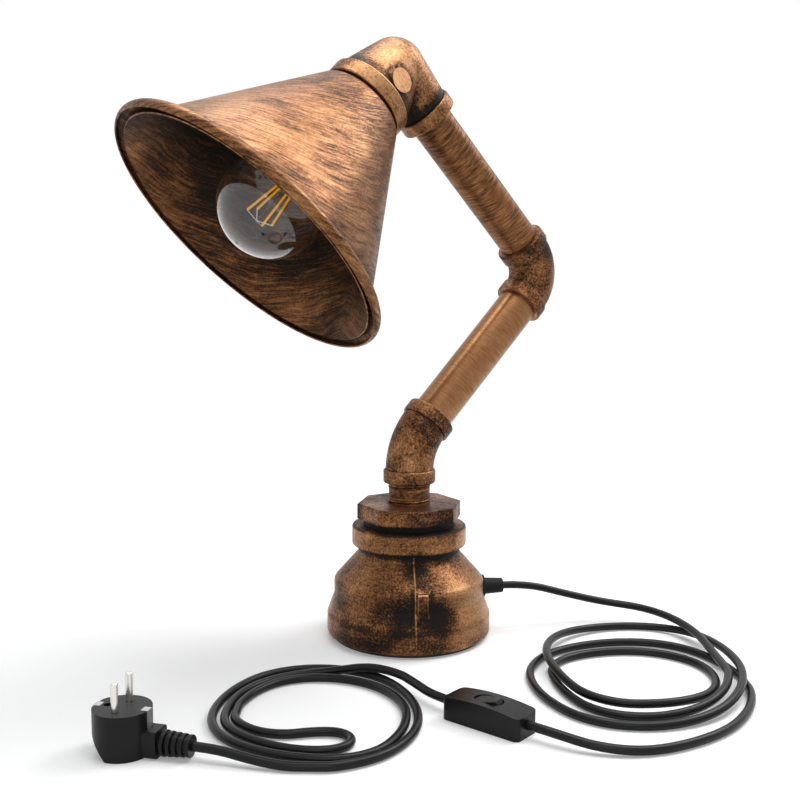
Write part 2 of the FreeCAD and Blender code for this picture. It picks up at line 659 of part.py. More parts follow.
def globe_form(shrink):
    """Solid of the glass, drawn in by shrink: a globe on a flared neck."""
    radius = GLOBE_R - shrink
    angle = math.radians(NECK_ANGLE)
    leave = V(radius * math.sin(angle), 0, GLOBE_AT + radius * math.cos(angle))
    neck_r = NECK_R - shrink
    neck_top = CAP_TOP - OVERCUT
    tangent = V(math.cos(angle), 0, -math.sin(angle))
    reach = (leave.x - neck_r) / -tangent.x
    corner = leave + tangent * reach
    back = min(reach, corner.z - neck_top)
    flare_end = corner - V(0, 0, back)
    flare_start = corner - tangent * back
    middle = math.radians(NECK_ANGLE / 2)
    globe_mid = V(radius * math.sin(middle), 0, GLOBE_AT + radius * math.cos(middle))
    edges = [Part.Arc(V(0, 0, GLOBE_AT + radius), globe_mid, leave).toShape()]
    if (flare_start - leave).Length > 1e-3:
        edges.append(Part.LineSegment(leave, flare_start).toShape())
    edges.append(Part.Arc(flare_start, arc_middle(corner, flare_start, flare_end), flare_end).toShape())
    if (flare_end - V(neck_r, 0, neck_top)).Length > 1e-3:
        edges.append(Part.LineSegment(flare_end, V(neck_r, 0, neck_top)).toShape())
    edges.append(Part.LineSegment(V(neck_r, 0, neck_top), V(0, 0, neck_top)).toShape())
    edges.append(Part.LineSegment(V(0, 0, neck_top), V(0, 0, GLOBE_AT + radius)).toShape())
    return Part.Face(Part.Wire(edges)).revolve(ORIGIN, Z_AXIS, 360)


def bulb_glass():
    inner = globe_form(GLASS_WALL)
    skin = globe_form(0).cut(inner)
    mouth = disc(NECK_R - GLASS_WALL, CAP_TOP - 2 * OVERCUT, CAP_TOP + OVERCUT)
    return skin.cut(mouth)


def bulb_cap():
    """Screw shell of the cap, with its rounded thread left plain."""
    low = BULB_FOOT + BULB_FOOT_THICK + BULB_INSULATOR_THICK
    corners = [(BULB_GLASS_BLACK_R, low), (CAP_R, low + 2.5), (CAP_R, CAP_TOP), (CAP_R - CAP_SHEET, CAP_TOP),
               (CAP_R - CAP_SHEET, low + 2.7), (BULB_GLASS_BLACK_R, low + CAP_SHEET)]
    return turned(corners)


def bulb_insulator():
    low = BULB_FOOT + BULB_FOOT_THICK
    return turned([(0, low), (BULB_FOOT_R, low), (BULB_GLASS_BLACK_R, low + BULB_INSULATOR_THICK),
                   (BULB_GLASS_BLACK_R, low + BULB_INSULATOR_THICK + CAP_SHEET),
                   (0, low + BULB_INSULATOR_THICK + CAP_SHEET)])


def bulb_foot():
    high = BULB_FOOT + BULB_FOOT_THICK
    return turned([(0, BULB_FOOT), (BULB_FOOT_R, BULB_FOOT, 0.8), (BULB_FOOT_R, high), (0, high)])


def bulb_stem():
    """Glass stem that stands in the cap and carries the filaments."""
    low = BULB_FOOT + BULB_FOOT_THICK + BULB_INSULATOR_THICK + CAP_SHEET
    corners = [(0, low), (BULB_GLASS_BLACK_R - CAP_SHEET, low), (BULB_GLASS_BLACK_R - CAP_SHEET, low + 2),
               (STEM_R, CAP_TOP, 6.0), (STEM_R * 0.55, STEM_TOP - 4, 2.0), (STEM_R * 0.8, STEM_TOP, 0.8),
               (0, STEM_TOP)]
    return turned(corners)


def filament_ends():
    """Lower and upper end of each filament rod."""
    ends = []
    for i in range(FILAMENTS):
        angle = math.radians(45 + i * 360.0 / FILAMENTS)
        outward = V(math.cos(angle), math.sin(angle), 0)
        lean = math.radians(FILAMENT_LEAN)
        low = outward * FILAMENT_RING_R + V(0, 0, FILAMENT_LOW)
        high = low + (outward * math.sin(lean) + V(0, 0, math.cos(lean))) * FILAMENT_LENGTH
        ends.append((low, high))
    return ends


def bar(start, end, radius):
    return Part.makeCylinder(radius, (end - start).Length, start, end - start)


def filaments():
    return group([bar(low, high, FILAMENT_R) for low, high in filament_ends()])


def filament_spider():
    """Support wires from the stem to the foot of each filament, and the mast that ties their tops."""
    crown = V(0, 0, FILAMENT_LOW + FILAMENT_LENGTH + 3)
    wires = bar(V(0, 0, STEM_TOP), crown, SPIDER_R * 1.5)
    for low, high in filament_ends():
        wires = wires.fuse(bar(V(0, 0, STEM_TOP), low + (V(0, 0, 0) - V(0, 0, FILAMENT_R * 0.2)), SPIDER_R))
        wires = wires.fuse(bar(crown, high + V(0, 0, FILAMENT_R * 0.2), SPIDER_R))
    for low, high in filament_ends():
        wires = wires.cut(bar(low, high, FILAMENT_R))
    return wires.cut(bulb_stem())


# Cords and cables

def laid(place):
    """A plan place of the cord in the row frame."""
    moved = placed_vector(V(*place), CORD_TURN)
    return moved


def placed_vector(vector, swing):
    return FreeCAD.Rotation(Z_AXIS, swing).multVec(vector)


def route(points, name):
    """Straight runs joined by tangent arcs, each as large as its two runs allow."""
    edges = []
    start = points[0]
    least = None
    for last, corner, following in zip(points, points[1:], points[2:]):
        back = BEND_SHARE * min((corner - last).Length, (following - corner).Length)
        arc_start = corner + (last - corner).normalize() * back
        arc_end = corner + (following - corner).normalize() * back
        turn = (corner - last).getAngle(following - corner)
        radius = back / math.tan(turn / 2)
        least = radius if least is None else min(least, radius)
        edges.append(Part.LineSegment(start, arc_start).toShape())
        edges.append(Part.Arc(arc_start, arc_middle(corner, arc_start, arc_end), arc_end).toShape())
        start = arc_end
    edges.append(Part.LineSegment(start, points[-1]).toShape())
    print(f"{name}: least bend radius {least:.1f} mm")
    return Part.Wire(edges)


def biarc(start, heading, end, end_heading):
    """Two arcs that leave start along heading and reach end along end_heading."""
    chord = end - start
    headings = heading + end_heading
    a = 2 * (heading.dot(end_heading) - 1)
    b = -2 * chord.dot(headings)
    c = chord.dot(chord)
    tangent = (-b - math.sqrt(b * b - 4 * a * c)) / (2 * a)
    corner_a = start + heading * tangent
    corner_b = end - end_heading * tangent
    joint = (corner_a + corner_b) * 0.5
    return [Part.Arc(start, arc_middle(corner_a, start, joint), joint).toShape(),
            Part.Arc(joint, arc_middle(corner_b, joint, end), end).toShape()]


def turn_stations(turns, middles, first_side, last=None):
    """Place and heading at each quarter turn of a coil that runs clockwise seen from above."""
    headings = [V(0, -1, 0), V(-1, 0, 0), V(0, 1, 0), V(1, 0, 0)]
    stations = []
    for turn, middle in zip(turns, middles):
        for quarter, ((edge, layer), cross) in enumerate(zip(turn, middle)):
            side = (quarter + first_side) % 4
            height = FLOOR + layer * LAYER
            place = (edge, cross, height) if side % 2 == 0 else (cross, edge, height)
            stations.append((laid(place), placed_vector(headings[side], CORD_TURN)))
    if last:
        side = first_side % 4
        stations.append((laid((last[0], last[1], FLOOR + last[2] * LAYER)),
                         placed_vector(headings[side], CORD_TURN)))
    return stations


def coil(stations):
    """Wire of a coil: a biarc for each quarter turn."""
    edges = []
    for (start, heading), (end, end_heading) in zip(stations, stations[1:]):
        edges += biarc(start, heading, end, end_heading)
    return Part.Wire(edges)


def tube(path, radius, name):
    """Round tube along a wire, with its volume held against section times length."""
    first = path.Edges[0]
    start = first.valueAt(first.FirstParameter)
    heading = first.tangentAt(first.FirstParameter)
    section = Part.Wire(Part.makeCircle(radius, start, heading))
    solid = path.makePipeShell([section], True, False)
    expected = math.pi * radius ** 2 * path.Length
    print(f"{name}: length {path.Length:.1f} mm, volume over section times length {solid.Volume / expected:.4f}")
    return solid


def least_gap(path, radius):
    """Least gap of a tube to itself, on points along its path."""
    step = radius
    points = path.discretize(Number=int(path.Length / step))
    apart = int(4 * math.pi * radius / step) + 1
    nearest = min((points[i] - points[j]).Length
                  for i in range(len(points)) for j in range(i + apart, len(points)))
    return nearest - 2 * radius


def gap_between(path_a, path_b, radius):
    return path_a.distToShape(path_b)[0] - 2 * radius


# Switch, made lengthwise along X with its middle over the origin

def switch_outline(inset, low, high):
    """Arched block with rounded upright corners, drawn in by inset."""
    half = SWITCH_LENGTH / 2 - inset
    rise = SWITCH_MID_HEIGHT - SWITCH_END_HEIGHT
    end_top = SWITCH_END_HEIGHT - inset
    mid_top = SWITCH_MID_HEIGHT - inset
    arch = Part.Arc(V(half, 0, end_top), V(0, 0, mid_top), V(-half, 0, end_top)).toShape()
    edges = [Part.LineSegment(V(-half, 0, low), V(half, 0, low)).toShape(),
             Part.LineSegment(V(half, 0, low), V(half, 0, end_top)).toShape(), arch,
             Part.LineSegment(V(-half, 0, end_top), V(-half, 0, low)).toShape()]
    width = SWITCH_WIDTH - 2 * inset
    arched = Part.Face(Part.Wire(edges)).extrude(V(0, width, 0))
    arched.translate(V(0, -width / 2, 0))
    corner = max(SWITCH_ROUND - inset, 0.5)
    slab = box((2 * half, width, high - low + rise), (0, 0), low)
    upright = [e for e in slab.Edges if abs(e.tangentAt(e.FirstParameter).z) > 0.9]
    slab = slab.makeFillet(corner, upright)
    window = box((2 * half + 2, width + 2, high - low), (0, 0), low)
    return arched.common(slab).common(window)


def rocker_window(grow, low, high):
    """Oval opening for the rocker, wider by grow."""
    half = ROCKER_R - ROCKER_WIDTH / 2
    width = ROCKER_WIDTH + 2 * grow
    slot = box((2 * half, width, high - low), (0, 0), low)
    for end in (-1, 1):
        slot = slot.fuse(Part.makeCylinder(width / 2, high - low, V(end * half, 0, low)))
    return slot


def switch_shells():
    """Lower and upper half of the case, split level with the cord."""
    top = SWITCH_MID_HEIGHT + OVERCUT
    cavity = switch_outline(SWITCH_WALL, SWITCH_WALL, top)
    lower = switch_outline(0, 0, SWITCH_SPLIT).cut(cavity)
    upper = switch_outline(0, SWITCH_SPLIT, top).cut(cavity)
    mouth = Part.makeCylinder(SWITCH_MOUTH_R, SWITCH_LENGTH, V(-SWITCH_LENGTH / 2, 0, SWITCH_SPLIT), X_AXIS)
    lower = lower.cut(mouth)
    upper = upper.cut(mouth).cut(rocker_window(ROCKER_GAP, SWITCH_SPLIT, top))
    for side in (-1, 1):
        cheek_at = side * (ROCKER_WIDTH / 2 + ROCKER_GAP + SWITCH_WALL / 2)
        cheek = box((6.0, SWITCH_WALL, ROCKER_PIVOT_Z + 3 - SWITCH_WALL), (0, cheek_at), SWITCH_WALL)
        lower = lower.fuse(cheek.common(switch_outline(SWITCH_WALL, SWITCH_WALL, top)))
    pin_hole = rocker_pin_form(ROCKER_PIN_R + FIT_GAP)
    lower = lower.cut(pin_hole)
    for x, y in screw_places():
        post = Part.makeCylinder(SCREW_HEAD_R, SWITCH_SPLIT - SWITCH_WALL, V(x, y, SWITCH_WALL))
        lower = lower.fuse(post)
        lower = lower.cut(Part.makeCylinder(SCREW_R + FIT_GAP, SWITCH_SPLIT + OVERCUT, V(x, y, -OVERCUT)))
        lower = lower.cut(Part.makeCylinder(SCREW_HEAD_R, SCREW_HEAD_HEIGHT + OVERCUT, V(x, y, -OVERCUT)))
        head_room = SWITCH_END_HEIGHT - SWITCH_WALL - SWITCH_SPLIT
        boss = Part.makeCylinder(SCREW_HEAD_R, head_room + 1, V(x, y, SWITCH_SPLIT))
        upper = upper.fuse(boss.common(switch_outline(SWITCH_WALL / 2, SWITCH_SPLIT, top)))
        upper = upper.cut(Part.makeCylinder(SCREW_R + FIT_GAP, head_room - 1, V(x, y, SWITCH_SPLIT)))
    return lower, upper


def screw_places():
    x = SWITCH_LENGTH / 2 - SCREW_INSET[0]
    y = SWITCH_WIDTH / 2 - SCREW_INSET[1]
    return [(x, y), (-x, -y)]


def switch_screws():
    length = SWITCH_END_HEIGHT - SWITCH_WALL - 1.5
    screws = []
    for x, y in screw_places():
        head = Part.makeCylinder(SCREW_HEAD_R - FIT_GAP, SCREW_HEAD_HEIGHT / 2, V(x, y, SCREW_HEAD_HEIGHT / 2))
        screws.append(head.fuse(Part.makeCylinder(SCREW_R, length - SCREW_HEAD_HEIGHT, V(x, y, SCREW_HEAD_HEIGHT))))
    return group(screws)


def rocker_pin_form(radius):
    length = ROCKER_WIDTH + 2 * ROCKER_GAP + 2 * SWITCH_WALL
    return Part.makeCylinder(radius, length, V(0, -length / 2, ROCKER_PIVOT_Z), Y_AXIS)


def rocker():
    """Two-way button: round about its pin from the side, oval from above."""
    top = ROCKER_PIVOT_Z + ROCKER_R
    crest = ROCKER_PIVOT_Z + ROCKER_CREST
    valley = ROCKER_PIVOT_Z + ROCKER_VALLEY
    low = ROCKER_PIVOT_Z - ROCKER_DEPTH
    side = outline([(-ROCKER_R, low), (ROCKER_R, low), (ROCKER_R, crest), (0, valley, 6.0), (-ROCKER_R, crest)])
    body = Part.Face(side).extrude(V(0, SWITCH_WIDTH, 0))
    body.translate(V(0, -SWITCH_WIDTH / 2, 0))
    wheel = Part.makeCylinder(ROCKER_R, SWITCH_WIDTH, V(0, -SWITCH_WIDTH / 2, ROCKER_PIVOT_Z), Y_AXIS)
    body = body.common(wheel).common(rocker_window(0, low, top))
    body = body.cut(rocker_pin_form(ROCKER_PIN_R + RUN_GAP))
    pocket_low = box((BRIDGE_SIZE[0] + 0.2, BRIDGE_SIZE[1] + 0.2, BRIDGE_SIZE[2]), (0, 0), low)
    body = body.cut(pocket_low)
    body.rotate(V(0, 0, ROCKER_PIVOT_Z), Y_AXIS, ROCKER_TILT)
    return body


def rocker_bridge():
    """Contact strip that the rocker carries on its underside."""
    strip = box(BRIDGE_SIZE, (0, 0), ROCKER_PIVOT_Z - ROCKER_DEPTH)
    strip.rotate(V(0, 0, ROCKER_PIVOT_Z), Y_AXIS, ROCKER_TILT)
    return strip


def switch_contacts():
    blocks = []
    for end in (-1, 1):
        block = box(CONTACT_SIZE, (end * CONTACT_AT, 0), SWITCH_WALL)
        hole = Part.makeCylinder(SWITCH_CORE_R, CONTACT_SIZE[0] + 2 * OVERCUT,
                                 V(end * CONTACT_AT - CONTACT_SIZE[0] / 2 - OVERCUT, 0, SWITCH_WALL + 2), X_AXIS)
        blocks.append(block.cut(hole))
    return group(blocks)


def on_switch(shape):
    at = laid((SWITCH_AT[0], SWITCH_AT[1], 0))
    return placed(shape, at, CORD_TURN + SWITCH_SWING)


def switch_end(sign, beyond=0.0):
    """Plan place of the cord's entry at one end, or a point beyond it."""
    angle = math.radians(SWITCH_SWING)
    reach = sign * (SWITCH_LENGTH / 2 + beyond)
    return (SWITCH_AT[0] + reach * math.cos(angle), SWITCH_AT[1] + reach * math.sin(angle), SWITCH_SPLIT)


# Plug, made with its cord leaving along +X and its pins up

def plug_body():
    """Moulded body: a round face over a back that is cut away, a neck and a ribbed relief."""
    side = outline([(-PLUG_R, PLUG_HEIGHT, PLUG_ROUND), (-PLUG_R, PLUG_BACK_CUT, PLUG_ROUND),
                    (-PLUG_FOOT_R, 0, PLUG_ROUND), (PLUG_R, 0), (PLUG_R, PLUG_HEIGHT, PLUG_ROUND)])
    body = Part.Face(side).extrude(V(0, 2 * PLUG_R, 0))
    body.translate(V(0, -PLUG_R, 0))
    body = body.common(disc(PLUG_R, 0, PLUG_HEIGHT))
    neck = box((PLUG_NECK_AT, PLUG_NECK_WIDTH, PLUG_NECK_HEIGHT), (PLUG_NECK_AT / 2, 0), 0)
    long_edges = [e for e in neck.Edges if abs(e.tangentAt(e.FirstParameter).x) > 0.9]
    neck = neck.makeFillet(PLUG_ROUND * 2, long_edges)
    body = body.fuse(neck)
    pitch = RELIEF_LENGTH / RELIEF_RIBS
    corners = [(CORD_R - OVERCUT, 0)]
    for i in range(RELIEF_RIBS):
        outer = RELIEF_R + (RELIEF_END_R - RELIEF_R) * i / (RELIEF_RIBS - 1)
        corners += [(RELIEF_CORE_R, i * pitch), (RELIEF_CORE_R, (i + 0.38) * pitch),
                    (outer, (i + 0.42) * pitch, 0.4), (outer, (i + 1) * pitch - 0.01, 0.4)]
    corners.append((CORD_R - OVERCUT, RELIEF_RIBS * pitch - 0.01))
    relief = Part.Face(outline(corners)).revolve(ORIGIN, Z_AXIS, 360)
    relief = relief.fuse(disc(CORD_R, 0, RELIEF_LENGTH - 0.01))
    relief.rotate(ORIGIN, Y_AXIS, 90)
    relief.translate(V(PLUG_NECK_AT, 0, RELIEF_Z))
    body = body.fuse(relief)
    for side_x in (-1, 1):
        body = body.cut(clip_form(side_x, FIT_GAP))
    body = body.cut(Part.makeCylinder(EARTH_HOLE_R, EARTH_HOLE_DEPTH,
                                      V(-EARTH_HOLE_AT, 0, PLUG_HEIGHT - EARTH_HOLE_DEPTH)))
    for side_y in (-1, 1):
        body = body.cut(Part.makeCylinder(PIN_ROOT_R + FIT_GAP, PIN_ROOT,
                                          V(0, side_y * PIN_PITCH / 2, PLUG_HEIGHT - PIN_ROOT)))
    return body


def clip_form(side, grow):
    """Earth strip let into the side of the plug, and bent a little over its face."""
    depth = CLIP_SHEET + grow
    upright = box((depth, CLIP_WIDTH + 2 * grow, CLIP_DROP), (side * (PLUG_R - depth / 2 + OVERCUT * 0.1), 0),
                  PLUG_HEIGHT - CLIP_DROP + OVERCUT * 0.1)
    over = box((PLUG_R / 4, CLIP_WIDTH + 2 * grow, CLIP_SHEET), (side * (PLUG_R - PLUG_R / 8), 0),
               PLUG_HEIGHT - CLIP_SHEET + OVERCUT * 0.1)
    return upright.fuse(over)


def plug_clips():
    return group([clip_form(side, 0.0) for side in (-1, 1)])


def plug_pins():
    pins = []
    for side in (-1, 1):
        at = V(0, side * PIN_PITCH / 2, 0)
        low = PLUG_HEIGHT - PIN_ROOT
        high = PLUG_HEIGHT + PIN_LENGTH
        step = PLUG_HEIGHT + PIN_STEP
        pin = turned([(0, low), (PIN_ROOT_R, low), (PIN_ROOT_R, step), (PIN_R, step),
                      (PIN_R, high, PIN_R * 0.7), (0, high)])
        pins.append(placed(pin, at))
    return group(pins)


def on_plug(shape):
    return placed(shape, laid((PLUG_AT[0], PLUG_AT[1], 0)), CORD_TURN + PLUG_SWING)


def plug_end(beyond=0.0):
    """Plan place where the cord leaves the plug's relief, or a point beyond it."""
    angle = math.radians(PLUG_SWING)
    reach = PLUG_NECK_AT + RELIEF_LENGTH - 0.01 + beyond
    return (PLUG_AT[0] + reach * math.cos(angle), PLUG_AT[1] + reach * math.sin(angle), RELIEF_Z)


def export(name, shape):
    if not shape.isValid():
        print(f"{name}: not valid")
    if shape.Volume <= 0:
        print(f"{name}: volume {shape.Volume:.1f}")
    shape.exportStep(f"parts/{name}.step")


def build():
    os.makedirs("parts", exist_ok=True)
    nodes = {}

    # Base
    nodes["foot_pad"] = disc(PAD_R, 0, PAD_THICK)
    nodes["bottom_plate"] = disc(BASE_BORE_R - FIT_GAP, FOOT_TOP, FOOT_TOP + PLATE_THICK)
    nodes["base_casting"] = base_casting()
    nodes["reducer_bushing"] = bushing()
    nodes["base_nipple"] = ring(PIPE_R, PIPE_BORE_R, NIPPLE_LOW, NIPPLE_TOP)
    nodes["cable_gland"] = gland()
    nodes["gland_nut"] = gland_nut()
    nodes["terminal_block"], nodes["terminal_screws"] = terminal_block()
    nodes["earth_screw"] = placed(earth_point(), ORIGIN, BASE_TURN)

    # Arm
    lower_start = ELBOW_45_REACH - THREAD_LENGTH
    lower_end = LOWER_RUN - ELBOW_90_REACH + THREAD_LENGTH
    upper_start = ELBOW_90_REACH - THREAD_LENGTH
    upper_end = UPPER_RUN - HEAD_SMALL_REACH + THREAD_LENGTH
    lower_elbow = elbow(180, LOWER_TILT, ELBOW_45_REACH)
    lower_elbow.translate(ELBOW_LOW)
    nodes["lower_elbow"] = lower_elbow
    nodes["lower_pipe"] = pipe(ELBOW_LOW, LOWER_TILT, lower_start, lower_end)
    middle_elbow = elbow(LOWER_TILT + 180, UPPER_TILT, ELBOW_90_REACH)
    middle_elbow.translate(ELBOW_MID)
    nodes["middle_elbow"] = middle_elbow
    nodes["upper_pipe"] = pipe(ELBOW_MID, UPPER_TILT, upper_start, upper_end)
    top_elbow = head_elbow()
    top_elbow.translate(ELBOW_TOP)
    nodes["head_elbow"] = top_elbow

    # Head, about the shade's axis
    plate = ring(HEAD_BIG_BORE_R - FIT_GAP, HOLDER_NIPPLE_R + FIT_GAP, HOLDER_PLATE_BACK, HOLDER_PLATE_FRONT)
    tube_nipple = ring(HOLDER_NIPPLE_R, HOLDER_NIPPLE_BORE_R, HOLDER_NIPPLE_BACK, HOLDER_NIPPLE_FRONT)
    nut_back = HOLDER_PLATE_BACK - HOLDER_NUT_THICK
    nut = prism(6, HOLDER_NUT_R, nut_back, HOLDER_PLATE_BACK)
    nut = nut.cut(disc(HOLDER_NIPPLE_R + RUN_GAP, nut_back - OVERCUT, HOLDER_PLATE_BACK + OVERCUT))
    head = {"holder_plate": plate, "holder_nipple": tube_nipple, "holder_nut": nut,
            "holder_sleeve": holder_sleeve(), "holder_insert": holder_insert(),
            "holder_terminals": holder_terminals(), "screw_shell": screw_shell(),
            "centre_tongue": centre_tongue(), "shade": shade(), "shade_ring": shade_ring(),
            "bulb_glass": bulb_glass(), "bulb_cap": bulb_cap(), "bulb_insulator": bulb_insulator(),
            "bulb_foot": bulb_foot(), "bulb_stem": bulb_stem(), "bulb_filaments": filaments(),
            "filament_spider": filament_spider()}
    for name, shape in head.items():
        nodes[name] = tilted(shape, ELBOW_TOP, HEAD_TILT)

    # Cable inside the pipes: each length stops on a swivel's axis
    block_mid = FOOT_TOP + PLATE_THICK + BLOCK_HEIGHT / 2
    block_far = BLOCK_NEAR - BLOCK_LENGTH
    swivel_low = V(0, 0, NIPPLE_TOP)
    swivel_mid = ELBOW_LOW + along(LOWER_TILT, lower_end)
    swivel_top = ELBOW_MID + along(UPPER_TILT, upper_end)
    supply = [(BASE_BELLY_R - GLAND_SHANK_LENGTH, GLAND_Z), (34.0, GLAND_Z), (18.0, 27.0), (6.0, block_mid),
              (BLOCK_NEAR, block_mid)]
    rise = [(block_far, block_mid), (block_far - 10.0, block_mid), (block_far - 17.0, 24.0),
            (block_far - 8.0, 40.0), (-14.0, 50.0), (0.0, 68.0), (0.0, NIPPLE_TOP - TAIL_ROOM)]
    supply_path = route([placed_vector(V(s, 0, z), BASE_TURN) for s, z in supply], "supply_tail")
    rise_path = route([placed_vector(V(s, 0, z), BASE_TURN) for s, z in rise], "base_cable")
    nodes["supply_tail"] = tube(supply_path, CORE_R, "supply_tail")
    nodes["base_cable"] = tube(rise_path, CORE_R, "base_cable")
    lower_cable = [swivel_low + V(0, 0, TAIL_ROOM), ELBOW_LOW, swivel_mid - along(LOWER_TILT, TAIL_ROOM)]
    upper_cable = [swivel_mid + along(LOWER_TILT, TAIL_ROOM), ELBOW_MID, swivel_top - along(UPPER_TILT, TAIL_ROOM)]
    head_cable = [swivel_top + along(UPPER_TILT, TAIL_ROOM), ELBOW_TOP,
                  ELBOW_TOP + along(HEAD_TILT, HOLDER_NIPPLE_FRONT)]
    for name, points in (("lower_cable", lower_cable), ("upper_cable", upper_cable), ("head_cable", head_cable)):
        nodes[name] = tube(route(points, name), CORE_R, name)

    # Cord outside
    gland_angle = BASE_TURN - CORD_TURN
    gland_tip = (GLAND_REACH * math.cos(math.radians(gland_angle)),
                 GLAND_REACH * math.sin(math.radians(gland_angle)), GLAND_Z)
    right = turn_stations(RIGHT_TURNS, RIGHT_MID, 0, RIGHT_LAST)
    left = turn_stations(LEFT_TURNS, LEFT_MID, 2)
    lead = [laid(p) for p in [gland_tip] + LEAD] + [right[0][0]]
    middle = [right[-1][0]] + [laid(p) for p in MIDDLE + [switch_end(-1, 19.0), switch_end(-1)]]
    hairpin = [laid(p) for p in [switch_end(1), switch_end(1, 17.0)] + HAIRPIN] + [left[0][0]]
    tail = [left[-1][0]] + [laid(p) for p in TAIL + [plug_end(16.0), plug_end()]]
    paths = {"cord_lead": route(lead, "cord_lead"), "cord_right_coil": coil(right),
             "cord_middle": route(middle, "cord_middle"), "cord_hairpin": route(hairpin, "cord_hairpin"),
             "cord_left_coil": coil(left), "cord_tail": route(tail, "cord_tail")}
    for name, path in paths.items():
        nodes[name] = tube(path, CORD_R, name)
        print(f"{name}: least gap to itself {least_gap(path, CORD_R):.2f} mm")
    names = list(paths)
    for i, one in enumerate(names):
        for other in names[i + 2:]:
            print(f"{one} and {other}: {gap_between(paths[one], paths[other], CORD_R):.2f} mm apart")

    # Switch and plug
    lower_shell, upper_shell = switch_shells()
    on_cord = {"switch_lower_shell": lower_shell, "switch_upper_shell": upper_shell,
               "switch_screws": switch_screws(), "switch_contacts": switch_contacts(),
               "rocker_pin": rocker_pin_form(ROCKER_PIN_R), "rocker": rocker(),
               "rocker_bridge": rocker_bridge()}
    for name, shape in on_cord.items():
        nodes[name] = on_switch(shape)
    for name, shape in (("plug_body", plug_body()), ("plug_pins", plug_pins()), ("plug_clips", plug_clips())):
        nodes[name] = on_plug(shape)

    for name, shape in nodes.items():
        export(name, shape)
    print(f"{len(nodes)} nodes")


build()
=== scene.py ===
"""Looks of the pipe table lamp: camera, studio, finishes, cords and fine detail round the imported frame."""

import math
import bpy
from mathutils import Matrix, Quaternion, Vector
from mathutils.bvhtree import BVHTree


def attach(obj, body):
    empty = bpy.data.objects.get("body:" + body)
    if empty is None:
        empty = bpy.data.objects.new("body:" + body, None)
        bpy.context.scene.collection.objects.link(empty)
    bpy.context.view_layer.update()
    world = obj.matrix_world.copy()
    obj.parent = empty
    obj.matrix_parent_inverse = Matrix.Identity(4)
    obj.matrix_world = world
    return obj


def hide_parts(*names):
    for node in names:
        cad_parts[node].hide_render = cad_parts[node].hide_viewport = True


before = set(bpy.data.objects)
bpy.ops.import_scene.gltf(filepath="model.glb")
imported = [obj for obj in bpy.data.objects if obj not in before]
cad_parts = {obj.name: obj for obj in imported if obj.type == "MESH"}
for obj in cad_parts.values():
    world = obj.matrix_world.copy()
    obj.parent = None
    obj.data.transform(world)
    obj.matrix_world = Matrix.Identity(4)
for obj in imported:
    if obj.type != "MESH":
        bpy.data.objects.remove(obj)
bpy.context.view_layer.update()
MM = 0.001

# The arm's layout, as in the part's source
ELBOW_Z = 158.5
LOWER_RUN = 196.0
UPPER_RUN = 221.0
BASE_TURN = -24.0
CORD_TURN = -34.0
CORD_R = 3.1
LAYER = 7.0
PIPE_R = 16.85


def tilt(degrees, distance=1.0):
    """A vector in the arm's plane, tilted from +Z towards +X, in millimetres."""
    angle = math.radians(degrees)
    return Vector((math.sin(angle), 0, math.cos(angle))) * distance


ELBOW_LOW = Vector((0, 0, ELBOW_Z))
ELBOW_MID = ELBOW_LOW + tilt(45, LOWER_RUN)
ELBOW_TOP = ELBOW_MID + tilt(-45, UPPER_RUN)
SHADE_TILT = -135.0


# Materials

class Nodes:
    """Small helper that adds nodes to one material."""

    def __init__(self, name):
        self.material = bpy.data.materials.new(name)
        self.material.use_nodes = True
        self.tree = self.material.node_tree
        self.shader = self.tree.nodes["Principled BSDF"]

    def add(self, kind, links=None, **values):
        node = self.tree.nodes.new(kind)
        for key, value in values.items():
            if hasattr(node, key):
                setattr(node, key, value)
            else:
                node.inputs[key.replace("_", " ")].default_value = value
        for socket, source in (links or {}).items():
            self.tree.links.new(source, node.inputs[socket])
        return node

    def ramp(self, source, stops):
        node = self.add("ShaderNodeValToRGB", {"Fac": source})
        ramp = node.color_ramp
        while len(ramp.elements) < len(stops):
            ramp.elements.new(0.5)
        for element, (place, colour) in zip(ramp.elements, stops):
            element.position = place
            element.color = (*colour, 1)
        return node.outputs["Color"]

    def math(self, operation, a, b=None, clamp=False):
        node = self.add("ShaderNodeMath", operation=operation, use_clamp=clamp)
        for i, value in enumerate((a, b)):
            if value is None:
                continue
            if isinstance(value, (int, float)):
                node.inputs[i].default_value = value
            else:
                self.tree.links.new(value, node.inputs[i])
        return node.outputs[0]

    def mix(self, share, a, b):
        node = self.add("ShaderNodeMix", data_type="RGBA")
        for socket, value in ((0, share), (6, a), (7, b)):
            if isinstance(value, tuple):
                node.inputs[socket].default_value = (*value, 1)
            else:
                self.tree.links.new(value, node.inputs[socket])
        return node.outputs[2]

    def wire(self, source, name):
        self.tree.links.new(source, self.shader.inputs[name])


def plain(name, colour, rough=0.5, metal=0.0, bump=0.0, bump_scale=900.0, specular=0.5):
    """One even colour, with a fine grain where bump is given."""
    made = Nodes(name)
    made.shader.inputs["Base Color"].default_value = (*colour, 1)
    made.shader.inputs["Roughness"].default_value = rough
    made.shader.inputs["Metallic"].default_value = metal
    made.shader.inputs["Specular IOR Level"].default_value = specular
    if bump:
        place = made.add("ShaderNodeTexCoord")
        grain = made.add("ShaderNodeTexNoise", {"Vector": place.outputs["Object"]}, Scale=bump_scale, Detail=4.0)
        relief = made.add("ShaderNodeBump", {"Height": grain.outputs["Fac"]}, Strength=bump, Distance=0.0004)
        made.wire(relief.outputs["Normal"], "Normal")
    return made.material


COPPER_BRIGHT = (0.46, 0.250, 0.120)
COPPER_MID = (0.185, 0.078, 0.030)
COPPER_DARK = (0.040, 0.018, 0.009)
PATINA = (0.007, 0.005, 0.004)

